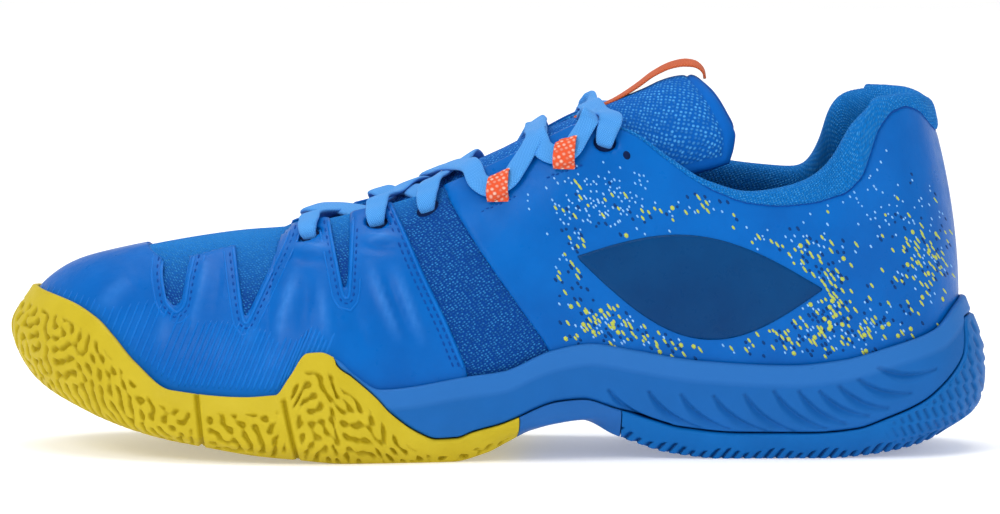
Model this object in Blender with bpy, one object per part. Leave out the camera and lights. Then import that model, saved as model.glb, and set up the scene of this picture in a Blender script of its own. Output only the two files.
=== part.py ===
"""Court shoe, left foot, built piece by piece.

Axes: +X points to the toe, +Y to the outer (lateral) side, +Z up; the sole rests on Z = 0.
All dimensions below are in millimetres; MM turns them into metres when a mesh is made.
"""
import math

import bmesh
import bpy
import numpy as np

MM = 0.001
GAP = 0.3                 # air left between two pieces that touch
LATERAL, MEDIAL = 1, -1

# ---------------------------------------------------------------- driving dimensions
RIBS_PER_SIDE = 26        # ribs between the heel centre and the toe centre, one side
COLLAR_RIBS = 9           # the padded collar reaches this many ribs from the heel
PAD_TAPER = {5: 0.5, 6: 0.8, 7: 1.0, 8: 0.8}      # share of the collar's padding, by row
THROAT_RIB = 18           # the rib at which the two eyestays meet
OVERLAY_RIB = 7           # the film overlay starts at this rib on both sides
LOW_ROWS, HIGH_ROWS = 2, 6
BOOTIE_THICK = 1.4
FILM_THICK = 0.7
FILM_BASE = BOOTIE_THICK + GAP
SOLE_GAP = FILM_BASE + FILM_THICK + GAP
RUBBER = 3.6              # wall of the rubber outsoles
BOARD_THICK = 1.5
INSOLE_THICK = 4.0
LACE_WIDE, LACE_THIN = 7.6, 1.1
EYELET_DOWN = [9.5, 8.5, 7.8, 0, 0, 6.0]   # from the eyestay edge down to each eyelet
EYELET_RADIUS = 2.5
SHIFT = (0.25, -1.575, 0.0)   # puts the origin under the middle of the outer size
EYELETS_X = [56, 35.5, 19.5, -4.5, -24.5, -35]
LOOP_ROWS = (3, 4)
# Tongue: x, height of its middle, half width, fall to its edges, sweep of its edges to the rear.
TONGUE = [(-62.5, 115.8, 19, 27, 11.5), (-56, 114.8, 21, 28, 11), (-45, 110, 23, 27, 6),
          (-30, 103.8, 25.5, 26, 4), (-15, 97.4, 27.5, 26, 2), (-1, 91.2, 28, 25, 1),
          (17, 82.9, 27, 24, 0), (34, 75.8, 24, 19, 0), (50, 69.0, 19, 13, 0),
          (60, 65.4, 14, 7, 0), (66, 64.3, 10, 3, 0), (72, 64.2, 8, 1, 0)]
TONGUE_PIVOT = (72, 0, 62)
INSOLE_PIVOT = (136, 0, 32)

# Plan outline of the last at the feather line: heel centre, outer side, toe tip, inner side.
OUTLINE = [(-139, 0), (-131, 20), (-112, 29.5), (-80, 32.5), (-40, 34.5), (0, 41), (30, 47.5),
           (55, 50), (80, 47), (102, 39), (122, 25), (137, 8), (144, -11),
           (137, -29), (122, -40), (102, -45.5), (80, -47), (55, -45.5), (30, -40), (0, -33),
           (-40, -29.5), (-80, -31.5), (-112, -29.5), (-131, -20)]
TOE_POINT = 12
OUTLINE_STEPS = 24        # fine points between two outline points

# Top line of the upper: share of the way from heel to toe along one side, then x, y, z.
TOP_LATERAL = [(0, -130.5, 0, 106.5), (0.045, -127, 12, 108), (0.09, -118.5, 21.5, 107.5),
               (0.13, -109.5, 26, 100.5), (0.17, -101, 28.5, 87.5), (0.21, -91, 30, 82),
               (0.26, -77, 30.5, 80), (0.305, -64, 30, 83.5), (0.34, -52, 28, 91),
               (0.375, -41, 25.5, 98.5), (0.41, -30, 23, 101.5), (0.455, -15, 21, 95.5),
               (0.50, -1, 19.5, 88.5), (0.55, 17, 18, 80.5), (0.60, 36, 16.5, 74.5),
               (0.645, 52, 13.5, 70.5), (0.672, 60, 8.5, 68.4)]
# The inner side follows the outer one, but rises more steeply behind the ankle.
TOP_MEDIAL_REAR = [(0.045, -125, -12.5, 108.4), (0.09, -112.5, -22, 108),
                   (0.13, -104.4, -26, 101.8), (0.17, -99.6, -28.5, 89.5),
                   (0.21, -93, -30, 82.6)]
TOP_MEDIAL_RISE = 4.0     # further forward it only runs this much higher
SPINE = [(9 / 13, 65, 0, 67), (0.75, 77, -0.5, 66), (0.82, 91, -1.5, 64),
         (0.90, 105, -3, 61.2), (1, 117, -5, 58)]
# Shape of each rib: handle lengths at the foot (rise) and at the top (reach out, drop down).
RIB_HANDLES = [(0, 26, 7.5, 22), (0.15, 24, 4.0, 20), (0.30, 26, 6, 16), (0.42, 27, 11, 11),
               (0.55, 24, 14, 8), (0.68, 22, 20, 3), (0.75, 20, 22, 0.3), (0.88, 16, 18, 0.3),
               (1, 13, 16, 0.3)]

# Heights along the length: footbed, underside and the sole's top edge on both sides.
FOOTBED = [(-140, 23), (-60, 22.5), (-30, 21), (0, 17), (30, 13.5), (60, 12), (88, 14),
           (115, 19.5), (130, 25), (145, 31)]
UNDERSIDE = [(-150, 14), (-146, 10), (-138, 6), (-126, 2.6), (-113, 0.8), (-100, 0), (-70, 0),
             (-52, 2), (-43, 4.9), (-36, 7.6), (-26, 12.3), (-10.7, 9.4), (-3, 5.6), (3, 2.6),
             (14, 0), (46, 0), (61, 1.2), (73, 2.2), (91, 4.8), (101, 6.3), (122, 11.4),
             (135, 17.5), (150, 30)]
EDGE_LATERAL = [(-141, 49.5), (-137, 45.5), (-131, 39), (-120, 35), (-105, 31), (-90, 29.6),
                (-62, 31), (-42, 34), (-28, 36), (-16, 34), (-1, 28), (9, 26.7), (36, 23),
                (44, 27), (49, 31), (54, 33), (58, 32.6), (63, 26), (67, 21), (76, 20.3),
                (98, 22), (109, 29), (117, 36), (123, 40.5), (132, 44.5), (145, 47.5)]
EDGE_MEDIAL = [(-141, 49.5), (-137, 45.5), (-131, 39), (-120, 35), (-105, 32), (-90, 31.5),
               (-62, 33), (-42, 36), (-20, 37), (0, 31), (20, 26), (40, 23.5), (60, 22),
               (86, 22), (98, 24), (109, 29), (117, 35), (132, 43), (145, 47.5)]
# Outer wall of the sole: share of the way, then three (offset from the outline) values.
SOLE_WALL = [(0, -2, 9.5, 11.5), (0.08, 1, 9, 10), (0.16, 3, 7, 6.5), (0.35, 2, 6, 5.5),
             (0.50, 1.5, 6, 6), (0.66, 2, 7, 7), (0.80, 0, 5.5, 6.5), (0.90, -4, 3, 6),
             (1, -8, -0.5, 6)]
SOLE_LEVELS = [(0, 14, 29), (0.08, 11, 26), (0.16, 7, 18), (0.35, 14, 22), (0.50, 9, 17),
               (0.66, 6, 14), (0.80, 10, 16), (0.90, 17, 29), (1, 24, 37)]

# Side outlines (x, z) of the three rubber and plastic pieces under the midsole.
FOREFOOT_LATERAL = [(-6, -5), (-6, 7.1), (18, 7.1), (23, 9.2), (32, 15.7), (37, 21), (44, 27),
                    (49, 31.5), (51, 60), (170, 60), (170, -5)]
FOREFOOT_MEDIAL = [(-6, -5), (-6, 7.1), (14, 7.1), (26, 11), (36, 17), (43, 24), (46, 60),
                   (170, 60), (170, -5)]
SHANK = [(-37.7, -5), (-37.7, 15.5), (-26.5, 19), (-19, 18.4), (-1, 11.4), (7, 9.2), (7, 7.45),
         (-6.3, 7.45), (-6.3, -5)]
HEEL = [(-38, -5), (-38, 15.4), (-47, 12.3), (-57, 9.4), (-75, 7.8), (-95, 7.8), (-110, 9.2),
        (-120, 12.3), (-131, 17), (-138, 22.4), (-143.5, 29), (-146, 35), (-170, 46), (-170, -5)]


SLITS = [(90.5, 88.5), (65, 61)]      # flex slits in the forefoot walls: x at the top and bottom
TREAD_SLOTS = (89, 62, 8)             # flex slots across the tread

# Side outlines (x, z) of the film skins.
OVERLAY_REAR = [(38, 140), (34, 78), (28, 65), (20, 47), (11, 29), (8, 5), (-200, 5), (-200, 140)]
WINDOWS = [[(103, 75), (91.5, 75), (92, 64), (96.5, 46), (99, 46), (101.5, 64)],
           [(83, 75), (63, 75), (65, 70), (74, 43), (78, 42), (81, 62)],
           [(51, 80), (44, 80), (45, 66), (46, 52), (48, 52)]]
VAMP_MESH = [(60, 9), (76, 12), (92, 13), (104, 10), (109, -3), (104, -15), (92, -17),
             (76, -14), (60, -9)]
QUARTER_FRONT = [(22.5, 95), (19, 76), (-16, 33), (-18, 10), (90, 10), (90, 95)]
COLLAR_SEAM = [(-30, 130), (-36, 103.5), (-44, 98), (-55, 89.5), (-65, 81), (-75, 76.5),
               (-86, 75.5), (-99, 77), (-108, 80), (-113, 86), (-118, 99), (-124, 104),
               (-150, 100), (-150, 130)]
LEAF_TIP, LEAF_LONG, LEAF_TILT = (-24, 62), 76, 10
LEAF_BELOW, LEAF_ABOVE = 20, 11
REACH = 120               # cutters run this far to each side, past the whole shoe


# ---------------------------------------------------------------- numeric helpers
def smooth(points):
    """A function that runs smoothly through (x, value) points and never overshoots them."""
    xs, ys = np.array(points, float).T
    step = np.diff(xs)
    slope = np.diff(ys) / step
    tangent = np.concatenate(([slope[0]], np.zeros(len(xs) - 2), [slope[-1]]))
    for k in range(1, len(xs) - 1):
        if slope[k - 1] * slope[k] > 0:
            tangent[k] = 2 * slope[k - 1] * slope[k] / (slope[k - 1] + slope[k])

    def value(x):
        x = np.clip(x, xs[0], xs[-1])
        k = np.clip(np.searchsorted(xs, x) - 1, 0, len(step) - 1)
        t = (x - xs[k]) / step[k]
        return ((1 + 2 * t) * (1 - t) ** 2 * ys[k] + t * (1 - t) ** 2 * step[k] * tangent[k]
                + t * t * (3 - 2 * t) * ys[k + 1] + t * t * (t - 1) * step[k] * tangent[k + 1])
    return value


def columns(table):
    """One smooth function for each value column of a table whose first column is the key."""
    return [smooth([(row[0], row[c]) for row in table]) for c in range(1, len(table[0]))]


def closed_spline(points, per_span):
    """Points along a smooth closed curve through the given plan points."""
    knots = np.array(points, float)
    ahead, behind = np.roll(knots, -1, 0), np.roll(knots, 1, 0)
    span = np.linalg.norm(ahead - knots, axis=1)
    pace = (ahead - behind) / (span + np.roll(span, 1))[:, None]
    found = []
    for k in range(len(knots)):
        n = (k + 1) % len(knots)
        for t in np.arange(per_span) / per_span:
            found.append((1 + 2 * t) * (1 - t) ** 2 * knots[k] + t * t * (3 - 2 * t) * knots[n]
                         + t * (1 - t) ** 2 * span[k] * pace[k]
                         + t * t * (t - 1) * span[k] * pace[n])
    return np.array(found)


def side_curve(side):
    """Heel-to-toe half of the outline as x(share), y(share) of its length."""
    curve = closed_spline(OUTLINE, OUTLINE_STEPS)
    toe = TOE_POINT * OUTLINE_STEPS
    half = curve[:toe + 1] if side == LATERAL else np.vstack([curve[toe:], curve[:1]])[::-1]
    length = np.concatenate(([0], np.cumsum(np.linalg.norm(np.diff(half, axis=0), axis=1))))
    return length / length[-1], half


SIDES = {LATERAL: side_curve(LATERAL), MEDIAL: side_curve(MEDIAL)}
FOOTBED_Z = smooth(FOOTBED)
UNDERSIDE_Z = smooth(UNDERSIDE)
EDGE_Z = {LATERAL: smooth(EDGE_LATERAL), MEDIAL: smooth(EDGE_MEDIAL)}
MEDIAL_TOP = [(s, x, -y, z + TOP_MEDIAL_RISE * math.exp(-((x + 78) / 28) ** 2))
              for s, x, y, z in TOP_LATERAL if s > TOP_MEDIAL_REAR[-1][0]]
MEDIAL_TOP = TOP_LATERAL[:1] + TOP_MEDIAL_REAR + MEDIAL_TOP
TOP = {LATERAL: columns(TOP_LATERAL + SPINE[:1]), MEDIAL: columns(MEDIAL_TOP + SPINE[:1])}
SPINE_LINE = columns(SPINE)
HANDLES = columns(RIB_HANDLES)
WALL = columns(SOLE_WALL)
LEVELS = columns(SOLE_LEVELS)
TONGUE_SWEEP = smooth([(0, 0), (0.2, 0.45), (0.43, 0.78), (0.65, 1), (0.8, 0.97), (1, 0.85)])


def plan(side, share):
    """Outline point and outward direction at a share of the way from heel to toe."""
    shares, half = SIDES[side]
    spot = np.array([np.interp(share, shares, half[:, c]) for c in (0, 1)])
    if share < 1e-6:
        return spot, np.array([-1.0, 0.0])
    if share > 1 - 1e-6:
        return spot, np.array([1.0, 0.0])
    near = [np.array([np.interp(share + d, shares, half[:, c]) for c in (0, 1)])
            for d in (-0.01, 0.01)]
    along = near[1] - near[0]
    out = np.array([-along[1], along[0]]) * side
    return spot, out / np.linalg.norm(out)


def top_point(side, share):
    """Where a rib ends: on the collar and eyestay edge, or on the vamp's centre line."""
    line = SPINE_LINE if share >= SPINE[0][0] else TOP[side]
    return np.array([f(share) for f in line])


def rib(side, share, t):
    """Point on the inner face of the upper: t runs from the footbed (0) to the top line (1)."""
    spot, out = plan(side, share)
    rise, reach, drop = (f(share) for f in HANDLES)
    top = top_point(side, share)
    floor = FOOTBED_Z(spot[0]) + GAP
    toward = spot - top[:2]
    toward = toward / np.linalg.norm(toward)
    corners = np.array([[*(spot - out), floor], [*(spot + 4.5 * out), floor + rise],
                        [*(top[:2] + reach * toward), top[2] - drop], top])
    t = np.asarray(t, float)[..., None]
    return ((1 - t) ** 3 * corners[0] + 3 * t * (1 - t) ** 2 * corners[1]
            + 3 * t * t * (1 - t) * corners[2] + t ** 3 * corners[3])


def edge_share(side, share):
    """Where on its rib the upper leaves the sole."""
    steps = np.linspace(0, 1, 201)
    heights = rib(side, share, steps)[:, 2]
    edge = EDGE_Z[side](plan(side, share)[0][0])
    return float(np.interp(edge, heights[:160], steps[:160]))


def unit(v):
    return v / np.maximum(np.linalg.norm(v, axis=-1, keepdims=True), 1e-9)


def rib_loop():
    """Every rib once around: heel, outer side, toe, inner side. One is where the eyestays meet."""
    shares = [k / RIBS_PER_SIDE for k in range(RIBS_PER_SIDE + 1)]
    return ([(LATERAL, s) for s in shares]
            + [(MEDIAL, s) for s in reversed(shares[1:-1])])


def wrap_grid():
    """Inner face of the upper and its outward normals, one row of points for each rib."""
    grid = []
    for side, share in rib_loop():
        edge = edge_share(side, share)
        stops = list(np.linspace(0, edge, LOW_ROWS + 1))
        stops += list(edge + (1 - edge) * np.linspace(0, 1, HIGH_ROWS + 1)[1:])
        grid.append(rib(side, share, stops))
    grid = np.array(grid)
    return grid, grid_normals(grid)


def grid_normals(grid):
    """Vertex normals of the closed grid, shared where the two sides meet on the vamp."""
    count = len(grid)
    total = np.zeros_like(grid)
    for k in range(count):
        n = (k + 1) % count
        for r in range(grid.shape[1] - 1):
            face = np.cross(grid[n, r + 1] - grid[k, r], grid[k, r + 1] - grid[n, r])
            for a, b in ((k, r), (n, r), (n, r + 1), (k, r + 1)):
                total[a, b] += face
    for k in range(THROAT_RIB, RIBS_PER_SIDE):
        both = total[k, -1] + total[count - k, -1]
        total[k, -1] = total[count - k, -1] = both
    normals = unit(total)
    heel_out = normals[0, 2]
    return normals if heel_out[0] < 0 else -normals


GRID, NORMALS = wrap_grid()
RING = len(GRID)
ROWS = GRID.shape[1]


def partner(k):
    """The rib on the other side that faces rib k."""
    return (RING - k) % RING


def offset(distance, ribs=None, rows=None):
    """The wrap moved out by a distance, for chosen ribs and rows."""
    ribs = range(RING) if ribs is None else ribs
    rows = range(ROWS) if rows is None else rows
    pick = np.ix_([k % RING for k in ribs], list(rows))
    return GRID[pick] + NORMALS[pick] * distance


# ---------------------------------------------------------------- mesh helpers
def finish(name, mesh, collection):
    """Weld, turn outward and link a bmesh as one named object."""
    bmesh.ops.remove_doubles(mesh, verts=mesh.verts, dist=0.00001)
    bmesh.ops.recalc_face_normals(mesh, faces=mesh.faces)
    data = bpy.data.meshes.new(name)
    mesh.to_mesh(data)
    mesh.free()
    thing = bpy.data.objects.new(name, data)
    collection.objects.link(thing)
    return thing


def add_face(mesh, corners):
    """A face, unless two of its corners fall together."""
    kept = []
    for v in corners:
        if all((v.co - w.co).length > 1e-6 for w in kept):
            kept.append(v)
    if len(kept) > 2:
        mesh.faces.new(kept)


def slab(name, outer, inner, collection, closed=False, open_top=()):
    """A solid between two grids of the same size, closed all round its rim."""
    mesh = bmesh.new()
    layers = [[[mesh.verts.new(p * MM) for p in row] for row in grid] for grid in (outer, inner)]
    count, rows = len(outer), len(outer[0])
    spans = [(k, (k + 1) % count) for k in range(count if closed else count - 1)]
    for k, n in spans:
        for r in range(rows - 1):
            for side in layers:
                add_face(mesh, [side[k][r], side[n][r], side[n][r + 1]])
                add_face(mesh, [side[k][r], side[n][r + 1], side[k][r + 1]])
        for r in (0, rows - 1):
            if r == rows - 1 and (k in open_top and n in open_top):
                continue
            add_face(mesh, [layers[0][k][r], layers[0][n][r], layers[1][n][r], layers[1][k][r]])
    if not closed:
        for k in (0, count - 1):
            for r in range(rows - 1):
                add_face(mesh, [layers[0][k][r], layers[0][k][r + 1],
                                layers[1][k][r + 1], layers[1][k][r]])
    return finish(name, mesh, collection)


def canoe(name, rings, floor, deck, collection):
    """A solid of stacked rings around the foot, bridged across at the bottom and the top."""
    mesh = bmesh.new()
    made = [[mesh.verts.new(p * MM) for p in ring] for ring in rings]
    for low, high in zip(made, made[1:]):
        for k in range(RING):
            n = (k + 1) % RING
            add_face(mesh, [low[k], low[n], high[n]])
            add_face(mesh, [low[k], high[n], high[k]])
    for ring, level in ((made[0], floor), (made[-1], deck)):
        spine = {}
        for k in range(1, RIBS_PER_SIDE):
            middle = (ring[k].co + ring[partner(k)].co) / 2
            if level is not None:
                middle.z = level(middle.x / MM) * MM
            spine[k] = mesh.verts.new(middle)
        spine[0], spine[RIBS_PER_SIDE] = ring[0], ring[RIBS_PER_SIDE]
        for k in range(RIBS_PER_SIDE):
            for a, b in ((k, k + 1), (partner(k), partner(k + 1))):
                add_face(mesh, [ring[a], ring[b], spine[k + 1], spine[k]])
    return finish(name, mesh, collection)


def prism(name, outline, low, high, collection):
    """A side outline (x, z) pushed across from y = low to y = high."""
    mesh = bmesh.new()
    face = mesh.faces.new([mesh.verts.new((x * MM, low * MM, z * MM)) for x, z in outline])
    push = bmesh.ops.extrude_face_region(mesh, geom=[face])
    moved = [v for v in push["geom"] if isinstance(v, bmesh.types.BMVert)]
    bmesh.ops.translate(mesh, verts=moved, vec=(0, (high - low) * MM, 0))
    return finish(name, mesh, collection)


def column(name, outline, low, high, collection):
    """A plan outline (x, y) raised from z = low to z = high."""
    mesh = bmesh.new()
    face = mesh.faces.new([mesh.verts.new((x * MM, y * MM, low * MM)) for x, y in outline])
    push = bmesh.ops.extrude_face_region(mesh, geom=[face])
    moved = [v for v in push["geom"] if isinstance(v, bmesh.types.BMVert)]
    bmesh.ops.translate(mesh, verts=moved, vec=(0, 0, (high - low) * MM))
    return finish(name, mesh, collection)


def grow(outline, distance):
    """An outline with every side moved out by a distance."""
    points = np.array(outline, float)
    turn = np.sum(points[:, 0] * np.roll(points[:, 1], -1) - points[:, 1] * np.roll(points[:, 0], -1))
    along = unit(np.roll(points, -1, 0) - points)
    out = np.stack([along[:, 1], -along[:, 0]], 1) * (1 if turn > 0 else -1)
    before = np.roll(out, 1, 0)
    corner = (before + out) / (1 + np.sum(before * out, 1))[:, None]
    return [tuple(p) for p in points + corner * distance]


def boolean(target, tool, operation):
    """Cut, join or keep what is common, with the exact solver."""
    step = target.modifiers.new(f"{operation.lower()} {tool.name}", "BOOLEAN")
    step.operation = operation
    step.object = tool
    step.solver = "EXACT"


def material(name, rgb, roughness, metallic=0.0):
    """A Principled material of one colour."""
    made = bpy.data.materials.new(name)
    made.use_nodes = True
    shader = made.node_tree.nodes["Principled BSDF"]
    shader.inputs["Base Color"].default_value = (*rgb, 1)
    shader.inputs["Roughness"].default_value = roughness
    shader.inputs["Metallic"].default_value = metallic
    made.diffuse_color = (*rgb, 1)
    return made


def dress(thing, made, soft=True):
    """Give an object its material and its shading."""
    thing.data.materials.clear()
    thing.data.materials.append(made)
    if soft:
        for face in thing.data.polygons:
            face.use_smooth = True
    return thing


# ---------------------------------------------------------------- sole
def sole_ring(column_index, side, share):
    """Plan point of the sole's outer wall at one of its three levels."""
    spot, out = plan(side, share)
    return spot + out * WALL[column_index](share)


def sole_rings():
    """Rings of the whole sole from its bottom edge to the lip beside the upper."""
    rings = [[], [], [], [], []]
    for k, (side, share) in enumerate(rib_loop()):
        base = sole_ring(0, side, share)
        rings[0].append(np.array([*base, UNDERSIDE_Z(base[0])]))
        for level in (1, 2):
            spot = sole_ring(level, side, share)
            height = LEVELS[level - 1](share)
            edge = GRID[k, LOW_ROWS, 2]
            rings[level].append(np.array([*spot, min(height, edge - (7, 3)[level - 1])]))
        lip = GRID[k, LOW_ROWS] + NORMALS[k, LOW_ROWS] * (SOLE_GAP + 1.8)
        rings[3].append(lip)
        rings[4].append(GRID[k, LOW_ROWS] - NORMALS[k, LOW_ROWS] * 2 - np.array([0, 0, 1.0]))
    return np.array(rings)


def core_rings(extra):
    """Rings of the body inside the rubber wall; extra shrinks it a little for a gap."""
    rings = [[], [], []]
    for k, (side, share) in enumerate(rib_loop()):
        spot, out = plan(side, share)
        a, b, c = (f(share) for f in WALL)
        base = spot + out * (a - 2.0 - extra)
        low = UNDERSIDE_Z(base[0]) + RUBBER + extra
        rings[0].append(np.array([*base, low]))
        rear = float(np.clip((0.56 - share) / 0.06, 0, 1))
        top = rear * 47 + (1 - rear) * (FOOTBED_Z(spot[0]) + 1.5)
        wall = rear * (c - RUBBER - extra) + (1 - rear) * (1.2 - extra)
        middle = min(b - RUBBER, c - RUBBER) - extra
        rings[1].append(np.array([*(spot + out * min(middle, wall + 1)),
                                  max(low + 1.5, min(low + 6, top - 2))]))
        rings[2].append(np.array([*(spot + out * wall), max(top, low + 3)]))
    return np.array(rings)


def make_sole(parts, cutters, paint):
    """Midsole, two rubber outsoles and the shank plate, all cut from one outer shape."""
    foot = canoe("cutter_foot", list(np.swapaxes(offset(SOLE_GAP, rows=range(LOW_ROWS + 3)), 0, 1)
                                     - np.array([[[0, 0, GAP]]] + [[[0, 0, 0]]] * (LOW_ROWS + 2))),
                 lambda x: FOOTBED_Z(x), None, cutters)
    core = canoe("cutter_core", core_rings(0.0), lambda x: UNDERSIDE_Z(x) + RUBBER, None, cutters)
    core_small = canoe("cutter_core_small", core_rings(GAP),
                       lambda x: UNDERSIDE_Z(x) + RUBBER + GAP, None, cutters)
    midsole = canoe("midsole", sole_rings(), UNDERSIDE_Z, None, parts)
    boolean(midsole, foot, "DIFFERENCE")
    zones = [("outsole_forefoot", FOREFOOT_LATERAL, FOREFOOT_MEDIAL, paint["yellow_rubber"]),
             ("outsole_heel", HEEL, HEEL, paint["blue_rubber"]),
             ("shank_plate", SHANK, SHANK, paint["shank_plastic"])]
    for name, outer, inner, look in zones:
        tool = zone_tool(f"cutter_{name}", outer, inner, 0.0, cutters)
        boolean(tool, core, "DIFFERENCE")
        piece = canoe(name, sole_rings(), UNDERSIDE_Z, None, parts)
        boolean(piece, tool, "INTERSECT")
        boolean(piece, foot, "DIFFERENCE")
        if name == "outsole_forefoot":
            for groove in flex_grooves(cutters):
                boolean(piece, groove, "DIFFERENCE")
        dress(piece, look)
        pocket = zone_tool(f"cutter_{name}_pocket", outer, inner, GAP, cutters)
        boolean(pocket, core_small, "DIFFERENCE")
        boolean(midsole, pocket, "DIFFERENCE")
    dress(midsole, paint["midsole_foam"])


def zone_tool(name, outer, inner, extra, cutters):
    """The room of one sole piece: its side outline on each half of the shoe."""
    left = prism(name, grow(outer, extra), 0 if outer is not inner else -90, 90, cutters)
    if outer is not inner:
        right = prism(f"{name}_inner_half", grow(inner, extra), -90, 0, cutters)
        boolean(left, right, "UNION")
    return left


def flex_grooves(cutters):
    """Two upright slits across each wall of the forefoot rubber, and three under it."""
    made = []
    for k, (x_top, x_low) in enumerate(SLITS):
        outline = [(x_low - 0.6, -2), (x_low + 0.6, -2), (x_top + 0.6, 19), (x_top - 0.6, 19)]
        for side in (LATERAL, MEDIAL):
            spot = float(np.interp(x_top, SIDES[side][1][:, 0], SIDES[side][1][:, 1]))
            near, far = spot + side * 4.6, spot + side * 20
            made.append(prism(f"cutter_slit_{k}_{side}", outline, min(near, far), max(near, far),
                              cutters))
    for k, x in enumerate(TREAD_SLOTS):
        top = UNDERSIDE_Z(x) + 1.6
        slot = [(x - 1, -3), (x + 1, -3), (x + 1, top), (x - 1, top)]
        made.append(prism(f"cutter_tread_{k}", slot, -REACH, REACH, cutters))
    return made


# ---------------------------------------------------------------- inside the shoe
def footprint_rings(levels):
    """Rings at (inward offset, height above the footbed) pairs."""
    rings = []
    for inward, height in levels:
        ring = []
        for k in range(RING):
            spot = GRID[k, 0] - NORMALS[k, 0] * inward
            ring.append(np.array([spot[0], spot[1], FOOTBED_Z(spot[0]) + height]))
        rings.append(ring)
    return rings


def make_board(parts, paint):
    low, high = GAP, GAP + BOARD_THICK
    board = canoe("strobel_board", footprint_rings([(GAP, low), (GAP, high)]),
                  lambda x: FOOTBED_Z(x) + low, lambda x: FOOTBED_Z(x) + high, parts)
    return dress(board, paint["board_felt"])


def make_insole(parts, paint):
    low = 2 * GAP + BOARD_THICK
    high = low + INSOLE_THICK
    pivot = bpy.data.objects.new("insole_pivot", None)
    pivot.location = [v * MM for v in INSOLE_PIVOT]
    parts.objects.link(pivot)
    insole = canoe("insole", footprint_rings([(3.6, low), (3.4, high + 2.5), (5.4, high + 2.3),
                                              (9, high)]),
                   lambda x: FOOTBED_Z(x) + low, lambda x: FOOTBED_Z(x) + high, parts)
    return hang(dress(insole, paint["insole_foam"]), pivot)


# ---------------------------------------------------------------- upper
def around_heel(last):
    """Rib numbers from the inner side through the heel to the outer side."""
    return list(range(-last, last + 1))


def make_bootie(parts, paint):
    """The knit upper: one closed sock from the footbed to the top line."""
    vamp = set(range(THROAT_RIB, RING - THROAT_RIB + 1))
    bootie = slab("mesh_bootie", offset(BOOTIE_THICK), offset(0), parts, closed=True, open_top=vamp)
    return dress(bootie, paint["mesh_fabric"])


def make_films(parts, cutters, paint):
    """Printed film skins: the toe-to-midfoot overlay and a quarter on each side."""
    front = list(range(OVERLAY_RIB, RING - OVERLAY_RIB + 1))
    vamp = set(range(THROAT_RIB - OVERLAY_RIB, len(front) - THROAT_RIB + OVERLAY_RIB))
    overlay = slab("forefoot_overlay", offset(FILM_BASE + FILM_THICK, front),
                   offset(FILM_BASE, front), parts, open_top=vamp)
    for k, outline in enumerate([OVERLAY_REAR] + WINDOWS):
        cutter = prism(f"cutter_overlay_{k}", outline, -REACH, REACH, cutters)
        boolean(overlay, cutter, "DIFFERENCE")
    boolean(overlay, column("cutter_vamp_mesh", VAMP_MESH, 40, 90, cutters), "DIFFERENCE")
    dress(overlay, paint["blue_film"], soft=False)
    edge_cut = prism("cutter_quarter_front", QUARTER_FRONT, -REACH, REACH, cutters)
    top_cut = prism("cutter_quarter_top", COLLAR_SEAM, -REACH, REACH, cutters)
    for side, name in ((LATERAL, "lateral"), (MEDIAL, "medial")):
        ribs = list(range(0, THROAT_RIB + 1)) if side == LATERAL else list(range(-THROAT_RIB, 1))
        quarter = slab(f"quarter_{name}", offset(FILM_BASE + FILM_THICK, ribs),
                       offset(FILM_BASE, ribs), parts)
        boolean(quarter, edge_cut, "DIFFERENCE")
        boolean(quarter, top_cut, "DIFFERENCE")
        seam_y = (-5, GAP / 2) if side == LATERAL else (-GAP / 2, 5)
        strip = prism(f"cutter_heel_seam_{name}", [(-160, 0), (-100, 0), (-100, 130), (-160, 130)],
                      *seam_y, cutters)
        boolean(quarter, strip, "DIFFERENCE")
        dress(quarter, paint["blue_film"], soft=False)
        make_side_panel(name, side, parts, cutters, paint)


def make_side_panel(name, side, parts, cutters, paint):
    """A plain navy leaf-shaped panel on the quarter."""
    base = FILM_BASE + FILM_THICK + GAP
    ribs = list(range(3, 14)) if side == LATERAL else list(range(-13, -2))
    panel = slab(f"side_panel_{name}", offset(base + 0.5, ribs), offset(base, ribs), parts)
    steps = np.linspace(0, 1, 9)
    x, z = LEAF_TIP
    low = [(x - LEAF_LONG * t, z - LEAF_BELOW * math.sin(math.pi * t) - LEAF_TILT * t)
           for t in steps]
    high = [(x - LEAF_LONG * t, z + LEAF_ABOVE * math.sin(math.pi * t) - LEAF_TILT * t)
            for t in steps[::-1]]
    reach = (2, REACH) if side == LATERAL else (-REACH, -2)
    leaf = prism(f"cutter_leaf_{name}", low[:-1] + high[:-1], *reach, cutters)
    boolean(panel, leaf, "INTERSECT")
    dress(panel, paint["navy_film"], soft=False)


def make_stiffeners(parts, paint):
    """Heel counter and toe puff, thin shells inside the knit upper."""
    rows = range(1, 5)
    for name, ribs, thick in (("heel_counter", around_heel(5), 1.2),
                              ("toe_puff", list(range(21, RING - 20)), 0.8)):
        shell = slab(name, offset(-GAP, ribs, rows), offset(-GAP - thick, ribs, rows), parts)
        dress(shell, paint["counter_plastic"])


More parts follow.
